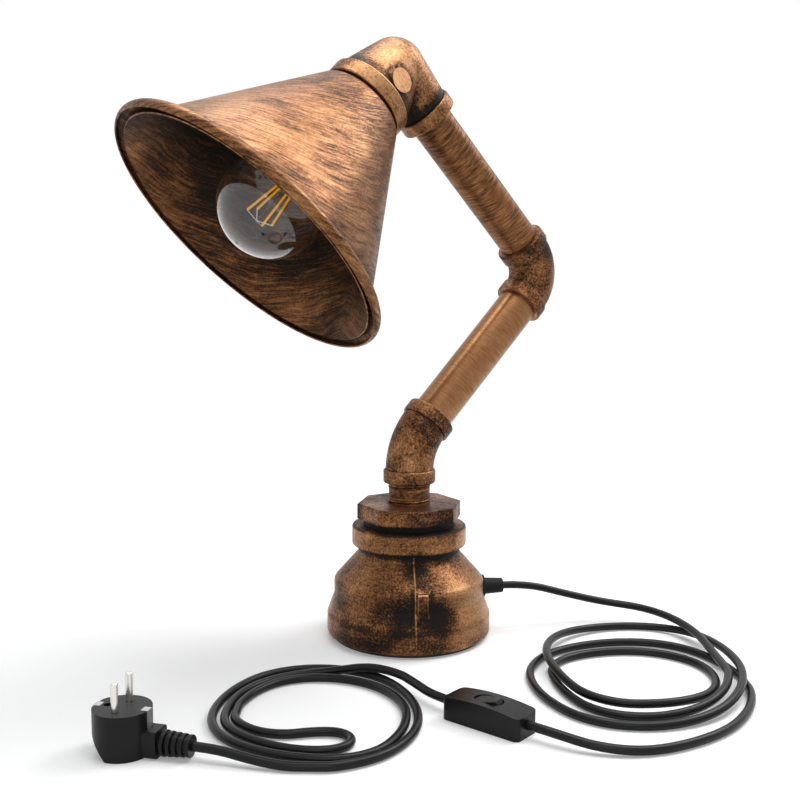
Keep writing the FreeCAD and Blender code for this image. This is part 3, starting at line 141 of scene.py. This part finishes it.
# How much patches, strokes, fine strokes and speckle each break the paint
BRUSHED = (1.0, 1.0, 0.6, 0.4)
BRUSHED_INSIDE = (0.8, 0.75, 0.5, 0.3)
PIPED = (0.30, 0.85, 0.35, 0.05)
PIPED_LOW = (0.30, 0.45, 0.20, 0.05)
CAST = (1.5, 0.35, 0.45, 0.9)

WHEEL_R = 0.05            # metres: strokes are laid on a wheel of this radius, whatever the piece's own
STROKE_WARP = 0.02
LEAN_REACH = 0.075
FINE_ROUND, FINE_ALONG = 3, 2.2
EDGE_MOST, EDGE_LEAST = 0.035, -0.08
PIPE_STROKE = (6.0, 170.0)


def darker_near(made, level, away, reach, depth):
    """The paint's level, less by depth where away is nothing and unchanged from reach on."""
    near = made.add("ShaderNodeMapRange", {"Value": away}, interpolation_type="SMOOTHSTEP")
    near.inputs["From Min"].default_value = reach * MM
    near.inputs["From Max"].default_value = 0.0
    return made.math("SUBTRACT", level, made.math("MULTIPLY", near.outputs["Result"], depth))


def aged_copper(name, centre, axis, dark=0.0, stroke=(22.0, 150.0), mottle=28.0, rough=0.34, cast=0.0, lean=0.0,
                edge=4.0, weights=BRUSHED, dark_spots=(), shade_rings=()):
    """Copper paint brushed over black. Strokes run round the piece's axis through centre, or lean off it."""
    made = Nodes(name)
    made.shader.inputs["Specular IOR Level"].default_value = 0.2
    place = made.add("ShaderNodeTexCoord")
    shift = made.add("ShaderNodeVectorMath", {0: place.outputs["Object"]}, operation="SUBTRACT")
    shift.inputs[1].default_value = centre * MM
    z_axis = axis.normalized()
    x_axis = Vector((0, 1, 0)) if abs(z_axis.y) < 0.9 else Vector((1, 0, 0))
    y_axis = z_axis.cross(x_axis).normalized()
    x_axis = y_axis.cross(z_axis)
    parts = []
    for direction in (x_axis, y_axis, z_axis):
        dot = made.add("ShaderNodeVectorMath", {0: shift.outputs[0]}, operation="DOT_PRODUCT")
        dot.inputs[1].default_value = direction
        parts.append(dot.outputs["Value"])
    angle = made.math("ARCTAN2", parts[1], parts[0])
    squares = [made.math("MULTIPLY", part, part) for part in parts[:2]]
    radius_sq = made.math("ADD", *squares)
    radius = made.math("SQRT", radius_sq)
    low_warp = made.add("ShaderNodeTexNoise", {"Vector": shift.outputs[0]}, Scale=14.0, Detail=2.0)
    along = made.math("ADD", parts[2], made.math("MULTIPLY", low_warp.outputs["Fac"], STROKE_WARP))
    from_side = made.math("ARCCOSINE", made.math("DIVIDE", parts[1], radius))
    along = made.math("SUBTRACT", along, made.math("MULTIPLY", from_side, lean * LEAN_REACH))
    turn_sin = made.math("SINE", angle)
    turn_cos = made.math("COSINE", angle)
    wheel = made.add("ShaderNodeCombineXYZ", {"X": made.math("MULTIPLY", turn_cos, WHEEL_R),
                                              "Y": made.math("MULTIPLY", turn_sin, WHEEL_R), "Z": along})
    stretch = made.add("ShaderNodeVectorMath", {0: wheel.outputs[0]}, operation="MULTIPLY")
    stretch.inputs[1].default_value = (stroke[0], stroke[0], stroke[1])
    strokes = made.add("ShaderNodeTexNoise", {"Vector": stretch.outputs[0]}, Scale=4.0, Detail=6.0, Roughness=0.68)
    fine_stretch = made.add("ShaderNodeVectorMath", {0: wheel.outputs[0]}, operation="MULTIPLY")
    fine_stretch.inputs[1].default_value = (stroke[0] * FINE_ROUND, stroke[0] * FINE_ROUND, stroke[1] * FINE_ALONG)
    fine = made.add("ShaderNodeTexNoise", {"Vector": fine_stretch.outputs[0]}, Scale=9.0, Detail=5.0, Roughness=0.7)
    here = {"Vector": place.outputs["Object"]}
    patches = made.add("ShaderNodeTexNoise", here, Scale=mottle, Detail=5.0, Roughness=0.6)
    speckle = made.add("ShaderNodeTexNoise", here, Scale=620.0, Detail=3.0, Roughness=0.7)
    # Patches choose where the black shows, strokes and speckle break its edge
    level = 0.5 - dark
    for source, weight in zip((patches, strokes, fine, speckle), weights):
        centred = made.math("SUBTRACT", source.outputs["Fac"], 0.5)
        level = made.math("ADD", made.math("MULTIPLY", centred, weight), level)
    if edge:
        worn = made.add("ShaderNodeNewGeometry")
        point = made.math("SUBTRACT", worn.outputs["Pointiness"], 0.5)
        point = made.math("MAXIMUM", made.math("MINIMUM", point, EDGE_MOST), EDGE_LEAST)
        level = made.math("ADD", level, made.math("MULTIPLY", point, edge))
    # Darker round each given place, by reach and depth.
    for spot, reach, depth in dark_spots:
        away = made.add("ShaderNodeVectorMath", {0: place.outputs["Object"]}, operation="DISTANCE")
        away.inputs[1].default_value = Vector(spot) * MM
        level = darker_near(made, level, away.outputs["Value"], reach, depth)
    # Painted shade: darker in bands round the axis at the given heights.
    for height, reach, depth in shade_rings:
        away = made.math("ABSOLUTE", made.math("SUBTRACT", parts[2], height * MM))
        level = darker_near(made, level, away, reach, depth)
    tone = made.ramp(level, [(0.16, PATINA), (0.30, COPPER_DARK), (0.46, COPPER_MID), (0.82, COPPER_BRIGHT)])
    made.wire(tone, "Base Color")
    metal = made.ramp(level, [(0.10, (0.40, 0.40, 0.40)), (0.40, (0.88, 0.88, 0.88))])
    made.wire(metal, "Metallic")
    roughness = made.ramp(level, [(0.10, (rough + 0.22,) * 3), (0.6, (rough,) * 3)])
    made.wire(roughness, "Roughness")
    height = made.math("ADD", made.math("MULTIPLY", strokes.outputs["Fac"], 0.5),
                       made.math("MULTIPLY", speckle.outputs["Fac"], weights[3] + 0.1 + cast))
    relief = made.add("ShaderNodeBump", {"Height": height}, Strength=0.25 + 0.25 * cast, Distance=0.0005)
    made.wire(relief.outputs["Normal"], "Normal")
    return made.material


SHADE_AXIS = tilt(SHADE_TILT)
UP = Vector((0, 0, 1))
# Dark spots beside the rib and above it, and painted shade in rings round the axis: in the recesses, where the
# bushing meets the base and darker towards the bottom. Place or height, reach, depth
RIB_DARK_SPOTS = [((-39.0, -48.0, 30.0), 27.0, 0.40), ((-12.0, -61.0, 31.0), 21.0, 0.42),
            ((-24.0, -43.0, 68.0), 18.0, 0.36)]
BASE_SHADE_RINGS = [(74.0, 5.0, 0.30), (93.0, 3.0, 0.45), (20.0, 4.0, 0.12), (6.0, 17.0, 0.20)]
BUSHING_SHADE_RINGS = [(91.0, 9.0, 0.8)]
CUPS = {
    "shade": aged_copper("shade_outside", ELBOW_TOP, SHADE_AXIS, dark=0.08, mottle=9.0, rough=0.36, lean=0.56,
                          edge=1.0),
    # The inside: the same copper, made darker as painted shade.
    "painted_shade_inside": aged_copper("painted_shade_inside", ELBOW_TOP, SHADE_AXIS, dark=0.19, mottle=12.0, rough=0.42,
                                 lean=0.56, edge=0.8, weights=BRUSHED_INSIDE),
    "base": aged_copper("base_paint", Vector((0, 0, 0)), UP, dark=0.0, mottle=13.0, rough=0.38, cast=0.5,
                        edge=7.0, weights=CAST, dark_spots=RIB_DARK_SPOTS,
                        shade_rings=BASE_SHADE_RINGS),
    "seam": aged_copper("seam_paint", Vector((0, 0, 0)), UP, dark=0.14, mottle=40.0, rough=0.36, edge=4.0,
                        weights=CAST),
    "thread": aged_copper("thread_paint", Vector((0, 0, 0)), UP, dark=-0.10, mottle=40.0, rough=0.34, edge=5.0,
                          weights=PIPED),
    "bushing": aged_copper("bushing_paint", Vector((0, 0, 0)), UP, dark=0.18, mottle=20.0, rough=0.36, edge=0.0,
                           weights=CAST, shade_rings=BUSHING_SHADE_RINGS),
    "nipple": aged_copper("nipple_paint", Vector((0, 0, 0)), UP, dark=0.14, mottle=20.0, rough=0.34, edge=0.0,
                          weights=PIPED),
    "lower_elbow": aged_copper("lower_elbow_paint", ELBOW_LOW, UP, dark=0.16, mottle=24.0, rough=0.38, cast=0.4,
                               edge=7.0, weights=CAST),
    "lower_pipe": aged_copper("lower_pipe_paint", ELBOW_LOW, tilt(45), stroke=PIPE_STROKE, dark=-0.05,
                              mottle=16.0, rough=0.28, edge=0.0, weights=PIPED_LOW),
    "middle_elbow": aged_copper("middle_elbow_paint", ELBOW_MID, UP, dark=0.22, mottle=24.0, rough=0.38, cast=0.4,
                                edge=7.0, weights=CAST),
    "upper_pipe": aged_copper("upper_pipe_paint", ELBOW_MID, tilt(-45), stroke=PIPE_STROKE, dark=0.06,
                              mottle=18.0, rough=0.32, edge=0.0, weights=PIPED),
    "head_elbow": aged_copper("head_elbow_paint", ELBOW_TOP, SHADE_AXIS, dark=0.04, mottle=18.0, rough=0.34,
                              cast=0.3, edge=7.0, weights=CAST),
}

BLACK_PVC = plain("black_pvc", (0.004, 0.004, 0.0045), rough=0.34, bump=0.05, specular=0.22)
BLACK_SATIN = plain("black_satin", (0.0045, 0.0045, 0.005), rough=0.34, bump=0.12, bump_scale=1800.0, specular=0.2)
BLACK_MATT = plain("black_matt", (0.007, 0.007, 0.007), rough=0.62, specular=0.2)
RUBBER = plain("rubber", (0.010, 0.010, 0.010), rough=0.75)
NICKEL = plain("nickel", (0.72, 0.70, 0.66), rough=0.20, metal=1.0)
STEEL = plain("steel", (0.60, 0.60, 0.61), rough=0.30, metal=1.0)
BRASS = plain("brass", (0.72, 0.50, 0.20), rough=0.28, metal=1.0)
CERAMIC = plain("ceramic", (0.80, 0.79, 0.75), rough=0.25)
CABLE = plain("cable", (0.72, 0.71, 0.68), rough=0.45)
BLOCK = plain("block", (0.78, 0.77, 0.72), rough=0.4)
ALUMINIUM = plain("aluminium", (0.78, 0.78, 0.77), rough=0.22, metal=1.0)


def glass(name, tint):
    made = Nodes(name)
    made.shader.inputs["Base Color"].default_value = (*tint, 1)
    made.shader.inputs["Roughness"].default_value = 0.0
    made.shader.inputs["IOR"].default_value = 1.45
    made.shader.inputs["Transmission Weight"].default_value = 1.0
    made.shader.inputs["Specular IOR Level"].default_value = 0.15
    return made.material


def glowing_amber():
    made = Nodes("glowing_amber")
    made.shader.inputs["Base Color"].default_value = (0.85, 0.36, 0.03, 1)
    made.shader.inputs["Roughness"].default_value = 0.4
    # A painted glow: the filaments give light though the bulb is switched off.
    made.shader.inputs["Emission Color"].default_value = (0.95, 0.42, 0.03, 1)
    made.shader.inputs["Emission Strength"].default_value = 0.35
    return made.material


CLEAR = glass("clear_glass", (0.98, 0.98, 0.97))
GLOWING_AMBER = glowing_amber()

FINISH = {
    "foot_pad": RUBBER, "bottom_plate": BLACK_MATT, "base_casting": CUPS["base"],
    "reducer_bushing": CUPS["bushing"],
    "base_nipple": CUPS["nipple"], "cable_gland": BLACK_MATT, "gland_nut": BLACK_MATT, "terminal_block": BLOCK,
    "terminal_screws": BRASS, "earth_screw": STEEL, "supply_tail": BLACK_PVC, "base_cable": CABLE,
    "cord_lead": BLACK_PVC, "cord_right_coil": BLACK_PVC, "cord_middle": BLACK_PVC, "cord_hairpin": BLACK_PVC,
    "cord_left_coil": BLACK_PVC, "cord_tail": BLACK_PVC, "switch_lower_shell": BLACK_SATIN,
    "switch_upper_shell": BLACK_SATIN, "switch_screws": STEEL, "switch_contacts": BRASS, "rocker_pin": STEEL,
    "rocker": BLACK_SATIN, "rocker_bridge": BRASS, "plug_body": BLACK_SATIN, "plug_pins": NICKEL,
    "plug_clips": STEEL, "lower_elbow": CUPS["lower_elbow"], "lower_pipe": CUPS["lower_pipe"], "lower_cable": CABLE,
    "middle_elbow": CUPS["middle_elbow"], "upper_pipe": CUPS["upper_pipe"], "upper_cable": CABLE,
    "head_elbow": CUPS["head_elbow"], "holder_plate": BLACK_MATT, "holder_nipple": STEEL, "holder_nut": STEEL,
    "holder_sleeve": BLACK_MATT, "holder_insert": CERAMIC, "holder_terminals": BRASS, "screw_shell": BRASS,
    "centre_tongue": BRASS, "shade": CUPS["shade"], "shade_ring": BLACK_MATT, "head_cable": CABLE,
    "bulb_glass": CLEAR, "bulb_cap": ALUMINIUM, "bulb_insulator": BLACK_SATIN, "bulb_foot": BRASS,
    "bulb_stem": CLEAR, "bulb_filaments": GLOWING_AMBER, "filament_spider": STEEL,
}


def finish_node(name, material, sharp=32.0):
    """Gives a CAD node its finish, with smooth shading that keeps its edges."""
    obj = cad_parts[name]
    obj.data.materials.clear()
    obj.data.materials.append(material)
    for face in obj.data.polygons:
        face.use_smooth = True
        face.material_index = 0
    obj.data.set_sharp_from_angle(angle=math.radians(sharp))


for node_name, node_finish in FINISH.items():
    finish_node(node_name, node_finish)


SHADE_INSIDE_END = 180.0
SHADE_BACK_END = 60.0


def shade_faces():
    """The shade's inside gets its own, darker copy of the copper finish, as painted shade."""
    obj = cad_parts["shade"]
    obj.data.materials.append(CUPS["painted_shade_inside"])
    axis = tilt(SHADE_TILT)
    for face in obj.data.polygons:
        place = face.center / MM - ELBOW_TOP
        outward = (place - axis * place.dot(axis)).normalized()
        depth = place.dot(axis)
        if face.normal.dot(outward) < -0.2 and depth < SHADE_INSIDE_END:
            face.material_index = 1
        if face.normal.dot(axis) > 0.5 and depth < SHADE_BACK_END:
            face.material_index = 1


shade_faces()


def new_object(name, mesh, material, body, sharp=32.0):
    """A smooth-shaded piece of the scene alone, on one body."""
    obj = bpy.data.objects.new(name, mesh)
    bpy.context.scene.collection.objects.link(obj)
    obj.data.materials.append(material)
    for face in mesh.polygons:
        face.use_smooth = True
    mesh.set_sharp_from_angle(angle=math.radians(sharp))
    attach(obj, body)
    return obj


# Cord: the same route as in the part's source, in its plan frame, in millimetres

FLOOR = CORD_R
LEAD = [(100.5, 17.7, 36.5), (135.0, 28.0, 25.0), (168.0, 35.0, 16.0), (200.0, 27.0, 13.8),
        (219.0, 2.0, 13.4), (230.0, -32.0, 12.8), (233.0, -68.0, 10.1)]
MIDDLE = [(244.0, -134.0, FLOOR), (233.0, -166.0, FLOOR), (210.0, -199.0, FLOOR),
          (178.0, -222.0, FLOOR), (147.0, -234.0, FLOOR), (117.0, -232.0, 4.9)]
HAIRPIN = [(3.5, -137.0, 9.2), (-8.0, -121.0, 10.3), (-30.0, -108.0, 10.3), (-56.0, -103.0, 4.6),
           (-80.0, -105.5, FLOOR), (-104.0, -119.5, FLOOR), (-119.0, -142.0, FLOOR),
           (-124.5, -170.0, FLOOR), (-123.0, -196.0, FLOOR), (-107.0, -216.0, FLOOR),
           (-84.0, -231.0, FLOOR), (-60.0, -236.5, FLOOR), (-42.0, -232.0, FLOOR),
           (-36.0, -219.0, FLOOR), (-44.0, -207.5, FLOOR), (-61.0, -206.5, FLOOR),
           (-82.0, -212.5, FLOOR), (-101.0, -207.0, FLOOR), (-117.0, -190.0, FLOOR)]
TAIL = [(-77.0, -257.0, FLOOR), (-98.0, -251.5, 5.0)]
RIGHT_TURNS = [((233.0, 1), (-180.0, 0), (106.0, 0), (-52.0, 0)),
               ((225.0, 0), (-168.0, 0.6), (105.0, 1), (9.0, 0)),
               ((245.5, 1), (-195.0, 0), (89.0, 0), (-31.0, 0))]
RIGHT_MID = [(-101.0, 156.0, -103.0, 173.0), (-101.0, 156.0, -82.0, 189.0), (-89.0, 152.0, -111.0, 180.0)]
RIGHT_LAST = (244.0, -115.0, 0)
LEFT_TURNS = [((-117.0, 0), (-112.5, 0), (-2.5, 0), (-247.0, 0)),
              ((-132.5, 0), (-94.0, 0), (5.5, 0), (-257.0, 0))]
LEFT_MID = [(-174.0, -66.0, -180.0, -50.0), (-178.0, -67.0, -184.0, -58.0)]
GLAND_REACH = 80.0
GLAND_Z = 36.5
SWITCH_AT = (52.3, -187.5)
SWITCH_SWING = 140.8
SWITCH_LENGTH = 61.0
SWITCH_SPLIT = 8.5
PLUG_AT = (-180.0, -230.0)
PLUG_SWING = -14.0
PLUG_REACH = 46.99
NEAR_RUN = 19.0
FAR_RUN = 17.0
PLUG_RUN = 16.0
RELIEF_Z = 8.3


def laid(place):
    """A plan place of the cord in the row frame, in millimetres."""
    return Matrix.Rotation(math.radians(CORD_TURN), 3, "Z") @ Vector(place)


def switch_end(sign, beyond=0.0):
    angle = math.radians(SWITCH_SWING)
    reach = sign * (SWITCH_LENGTH / 2 + beyond)
    return (SWITCH_AT[0] + reach * math.cos(angle), SWITCH_AT[1] + reach * math.sin(angle), SWITCH_SPLIT)


def plug_end(beyond=0.0):
    angle = math.radians(PLUG_SWING)
    reach = PLUG_REACH + beyond
    return (PLUG_AT[0] + reach * math.cos(angle), PLUG_AT[1] + reach * math.sin(angle), RELIEF_Z)


def stations(turns, middles, first_side, last=None):
    """Place and heading at each quarter turn of a clockwise coil."""
    headings = [Vector((0, -1, 0)), Vector((-1, 0, 0)), Vector((0, 1, 0)), Vector((1, 0, 0))]
    found = []
    for turn, middle in zip(turns, middles):
        for quarter, ((edge, layer), cross) in enumerate(zip(turn, middle)):
            side = (quarter + first_side) % 4
            height = FLOOR + layer * LAYER
            place = (edge, cross, height) if side % 2 == 0 else (cross, edge, height)
            found.append((laid(place), laid(headings[side])))
    if last:
        found.append((laid((last[0], last[1], FLOOR + last[2] * LAYER)), laid(headings[first_side % 4])))
    return found


def coil_points(quarters):
    """Control points of a coil: each quarter turn is two arcs, and each arc gives two corners."""
    points = [quarters[0][0]]
    for (start, heading), (end, end_heading) in zip(quarters, quarters[1:]):
        chord = end - start
        headings = heading + end_heading
        a = 2 * (heading.dot(end_heading) - 1)
        b = -2 * chord.dot(headings)
        c = chord.dot(chord)
        tangent = (-b - math.sqrt(b * b - 4 * a * c)) / (2 * a)
        corner_a = start + heading * tangent
        corner_b = end - end_heading * tangent
        joint = (corner_a + corner_b) / 2
        for first, corner, last in ((start, corner_a, joint), (joint, corner_b, end)):
            half = math.asin(min(1.0, ((first + last) / 2 - corner).length / tangent))
            radius = tangent / math.tan(half)
            back = radius * math.tan(half / 2)
            points.append(first + (corner - first).normalized() * back)
            points.append(last + (corner - last).normalized() * back)
    points.append(quarters[-1][0])
    return points


gland_angle = math.radians(BASE_TURN - CORD_TURN)
gland_tip = (GLAND_REACH * math.cos(gland_angle), GLAND_REACH * math.sin(gland_angle), GLAND_Z)
right = stations(RIGHT_TURNS, RIGHT_MID, 0, RIGHT_LAST)
left = stations(LEFT_TURNS, LEFT_MID, 2)
near_cord = [laid(p) for p in [gland_tip] + LEAD] + coil_points(right)
near_cord += [laid(p) for p in MIDDLE + [switch_end(-1, NEAR_RUN), switch_end(-1)]]
far_cord = [laid(p) for p in [switch_end(1), switch_end(1, FAR_RUN)] + HAIRPIN] + coil_points(left)
far_cord += [laid(p) for p in TAIL + [plug_end(PLUG_RUN), plug_end()]]


def cord_curve(name, points):
    data = bpy.data.curves.new(name, "CURVE")
    data.dimensions = "3D"
    data.bevel_depth = CORD_R * MM
    data.bevel_resolution = 5
    data.resolution_u = 10
    data.use_fill_caps = True
    line = data.splines.new("NURBS")
    line.points.add(len(points) - 1)
    for spot, place in zip(line.points, points):
        spot.co = (*(place * MM), 1)
    line.order_u = 3
    line.use_endpoint_u = True
    obj = bpy.data.objects.new(name, data)
    bpy.context.scene.collection.objects.link(obj)
    data.materials.append(BLACK_PVC)
    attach(obj, "base")
    return obj


near = cord_curve("lead_from_lamp", near_cord)
far = cord_curve("lead_to_plug", far_cord)
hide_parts("cord_lead", "cord_right_coil", "cord_middle")
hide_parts("cord_hairpin", "cord_left_coil", "cord_tail")


# Threads: crests of a screw thread round a pipe

THREAD_SECTION = [(-0.46, 0.0), (-0.08, 1.0), (0.08, 1.0), (0.46, 0.0)]
THREAD_STEPS = 40
THREAD_ROOT = 0.05
THREAD_PITCH = 2.3
THREAD_DEPTH = 0.7

def thread(name, start, direction, radius, length, pitch, depth, material, body):
    """A helical crest of triangular section wound round an axis. Sizes in millimetres."""
    axis = direction.normalized()
    side = axis.cross(Vector((0, 1, 0)))
    side = side.normalized() if side.length > 0.1 else Vector((1, 0, 0))
    other = axis.cross(side)
    steps = THREAD_STEPS
    total = int(length / pitch * steps)
    points = []
    faces = []
    for i in range(total + 1):
        angle = 2 * math.pi * i / steps
        fade = min(1.0, i / steps, (total - i) / steps)
        outward = side * math.cos(angle) + other * math.sin(angle)
        height = pitch * i / steps
        for shift, rise in THREAD_SECTION:
            reach = radius - THREAD_ROOT + rise * depth * fade
            points.append((start + axis * (height + shift * pitch) + outward * reach) * MM)
        if i:
            low = (i - 1) * 4
            for k in range(3):
                faces.append((low + k, low + k + 1, low + k + 5, low + k + 4))
    mesh = bpy.data.meshes.new(name)
    mesh.from_pydata(points, [], faces)
    mesh.validate()
    return new_object(name, mesh, material, body, sharp=25.0)


for thread_name, thread_z, thread_length in (("nipple_thread_low", 110.0, 5.5), ("nipple_thread_high", 121.5, 5.0)):
    thread(thread_name, UP * thread_z, UP, PIPE_R, thread_length, THREAD_PITCH, THREAD_DEPTH,
           CUPS["thread"], "base")


# Casting seam: a low ridge that follows the outside of the base

SEAM_TURN = 84.8          # degrees from the gland, beside the rib
SEAM_LOW = 5.0
SEAM_HIGH = 74.0
SEAM_HALF = 0.8
SEAM_CREST = 0.25
SEAM_PROUD = 0.45
SEAM_ROOT = -0.1
SEAM_STEPS = 90
SEAM_FADE = 4
OUTSIDE = 150.0

def seam(name, node, azimuth, low, high, material, body):
    """A ridge on the outside of a node, at one azimuth about Z. Sizes in millimetres."""
    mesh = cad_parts[node].data
    tree = BVHTree.FromPolygons([v.co for v in mesh.vertices], [p.vertices for p in mesh.polygons])
    side = Vector((math.cos(math.radians(azimuth)), math.sin(math.radians(azimuth)), 0))
    across = Vector((-side.y, side.x, 0))
    points = []
    faces = []
    for i in range(SEAM_STEPS + 1):
        start = side * OUTSIDE + UP * (low + (high - low) * i / SEAM_STEPS)
        hit, normal = tree.ray_cast(start * MM, -side)[:2]
        proud = SEAM_PROUD * min(1.0, i / SEAM_FADE, (SEAM_STEPS - i) / SEAM_FADE)
        for shift, rise in ((-SEAM_HALF, SEAM_ROOT), (-SEAM_CREST, proud),
                            (SEAM_CREST, proud), (SEAM_HALF, SEAM_ROOT)):
            points.append(hit + (across * shift + normal * rise) * MM)
        if i:
            row = (i - 1) * 4
            for k in range(3):
                faces.append((row + k, row + k + 1, row + k + 5, row + k + 4))
    made = bpy.data.meshes.new(name)
    made.from_pydata(points, [], faces)
    made.validate()
    return new_object(name, made, material, body, sharp=50.0)


for seam_name, half_turn in (("base_seam_near", -180.0), ("base_seam_far", 0.0)):
    seam_azimuth = BASE_TURN + SEAM_TURN + half_turn
    seam(seam_name, "base_casting", seam_azimuth, SEAM_LOW, SEAM_HIGH, CUPS["seam"], "base")

# Camera at the photograph's viewing angle
camera_data = bpy.data.cameras.new("camera")
camera_data.lens = 49.7
camera_data.sensor_width = 36.0
camera_data.clip_start = 0.02
camera = bpy.data.objects.new("camera", camera_data)
bpy.context.scene.collection.objects.link(camera)
CAMERA_AT = Vector((-504.16, -733.76, 302.64)) * MM
CAMERA_TO = Vector((-6.7, 4.5, 194.4)) * MM
CAMERA_ROLL = 0.35
camera.location = CAMERA_AT
aim = (CAMERA_TO - CAMERA_AT).to_track_quat("-Z", "Y")
camera.rotation_mode = "QUATERNION"
camera.rotation_quaternion = aim @ Quaternion((0, 0, 1), math.radians(CAMERA_ROLL))
bpy.context.scene.camera = camera


# Studio

FLOOR_SIZE = 40.0
FLOOR_DROP = 0.0002       # keeps the floor just below the foot pad
FLOOR_WHITE = (0.86, 0.86, 0.86)
FLOOR_GLOW = 0.20
FADE_FROM = 0.42          # metres from the lamp, where plain white light begins
FADE_TO = 0.95
LIGHTS = [                # name, place, target, size, power
    ("top", (0.1, 0.05, 1.75), (0, 0, 0.2), (1.6, 1.1), 26.0),
    ("right", (1.25, -0.15, 1.45), (0, 0, 0.3), (0.8, 0.8), 15.0),
    ("front", (-1.1, -1.5, 1.1), (0, 0, 0.2), (0.7, 0.9), 5.0),
]

def floor_material():
    """White near the lamp, where it takes the shadow, and plain white light further out."""
    made = Nodes("floor")
    made.shader.inputs["Roughness"].default_value = 0.9
    made.shader.inputs["Specular IOR Level"].default_value = 0.1
    place = made.add("ShaderNodeTexCoord")
    reach = made.add("ShaderNodeVectorMath", {0: place.outputs["Object"]}, operation="LENGTH")
    path = made.add("ShaderNodeLightPath")
    seen = made.math("MAXIMUM", path.outputs["Is Camera Ray"], path.outputs["Is Transmission Ray"])
    seen = made.math("MAXIMUM", seen, path.outputs["Is Glossy Ray"])
    fade = made.add("ShaderNodeMapRange", {"Value": reach.outputs["Value"]}, interpolation_type="SMOOTHSTEP")
    fade.inputs["From Min"].default_value = FADE_FROM
    fade.inputs["From Max"].default_value = FADE_TO
    far = made.math("MULTIPLY", fade.outputs["Result"], seen)
    made.wire(made.mix(far, FLOOR_WHITE, (0.0, 0.0, 0.0)), "Base Color")
    made.shader.inputs["Emission Color"].default_value = (1, 1, 1, 1)
    near = made.math("MULTIPLY", seen, FLOOR_GLOW)
    made.wire(made.math("ADD", near, made.math("MULTIPLY", far, 1.0 - FLOOR_GLOW)), "Emission Strength")
    return made.material


bpy.ops.mesh.primitive_plane_add(size=FLOOR_SIZE, location=(0, 0, -FLOOR_DROP))
floor = bpy.context.object
floor.name = "floor"
floor.data.materials.append(floor_material())

world = bpy.data.worlds.new("studio")
bpy.context.scene.world = world
world.use_nodes = True
tree = world.node_tree
tree.nodes.clear()
out = tree.nodes.new("ShaderNodeOutputWorld")
soft = tree.nodes.new("ShaderNodeBackground")
soft.inputs["Color"].default_value = (0.95, 0.97, 1.0, 1)
soft.inputs["Strength"].default_value = 0.26
white = tree.nodes.new("ShaderNodeBackground")
white.inputs["Color"].default_value = (1, 1, 1, 1)
white.inputs["Strength"].default_value = 1.0
path = tree.nodes.new("ShaderNodeLightPath")
pick = tree.nodes.new("ShaderNodeMixShader")
seen = tree.nodes.new("ShaderNodeMath")
seen.operation = "MAXIMUM"
tree.links.new(path.outputs["Is Camera Ray"], seen.inputs[0])
tree.links.new(path.outputs["Is Transmission Ray"], seen.inputs[1])
seen_glossy = tree.nodes.new("ShaderNodeMath")
seen_glossy.operation = "MAXIMUM"
tree.links.new(seen.outputs[0], seen_glossy.inputs[0])
tree.links.new(path.outputs["Is Glossy Ray"], seen_glossy.inputs[1])
tree.links.new(seen_glossy.outputs[0], pick.inputs[0])
tree.links.new(soft.outputs[0], pick.inputs[1])
tree.links.new(white.outputs[0], pick.inputs[2])
tree.links.new(pick.outputs[0], out.inputs[0])


def area_light(name, place, target, size, power):
    data = bpy.data.lights.new(name, "AREA")
    data.shape = "RECTANGLE"
    data.size, data.size_y = size
    data.energy = power
    obj = bpy.data.objects.new(name, data)
    bpy.context.scene.collection.objects.link(obj)
    obj.location = place
    obj.rotation_mode = "QUATERNION"
    obj.rotation_quaternion = (Vector(target) - Vector(place)).to_track_quat("-Z", "Y")


for light in LIGHTS:
    area_light(*light)

settings = bpy.context.scene.view_settings
settings.view_transform = "Standard"
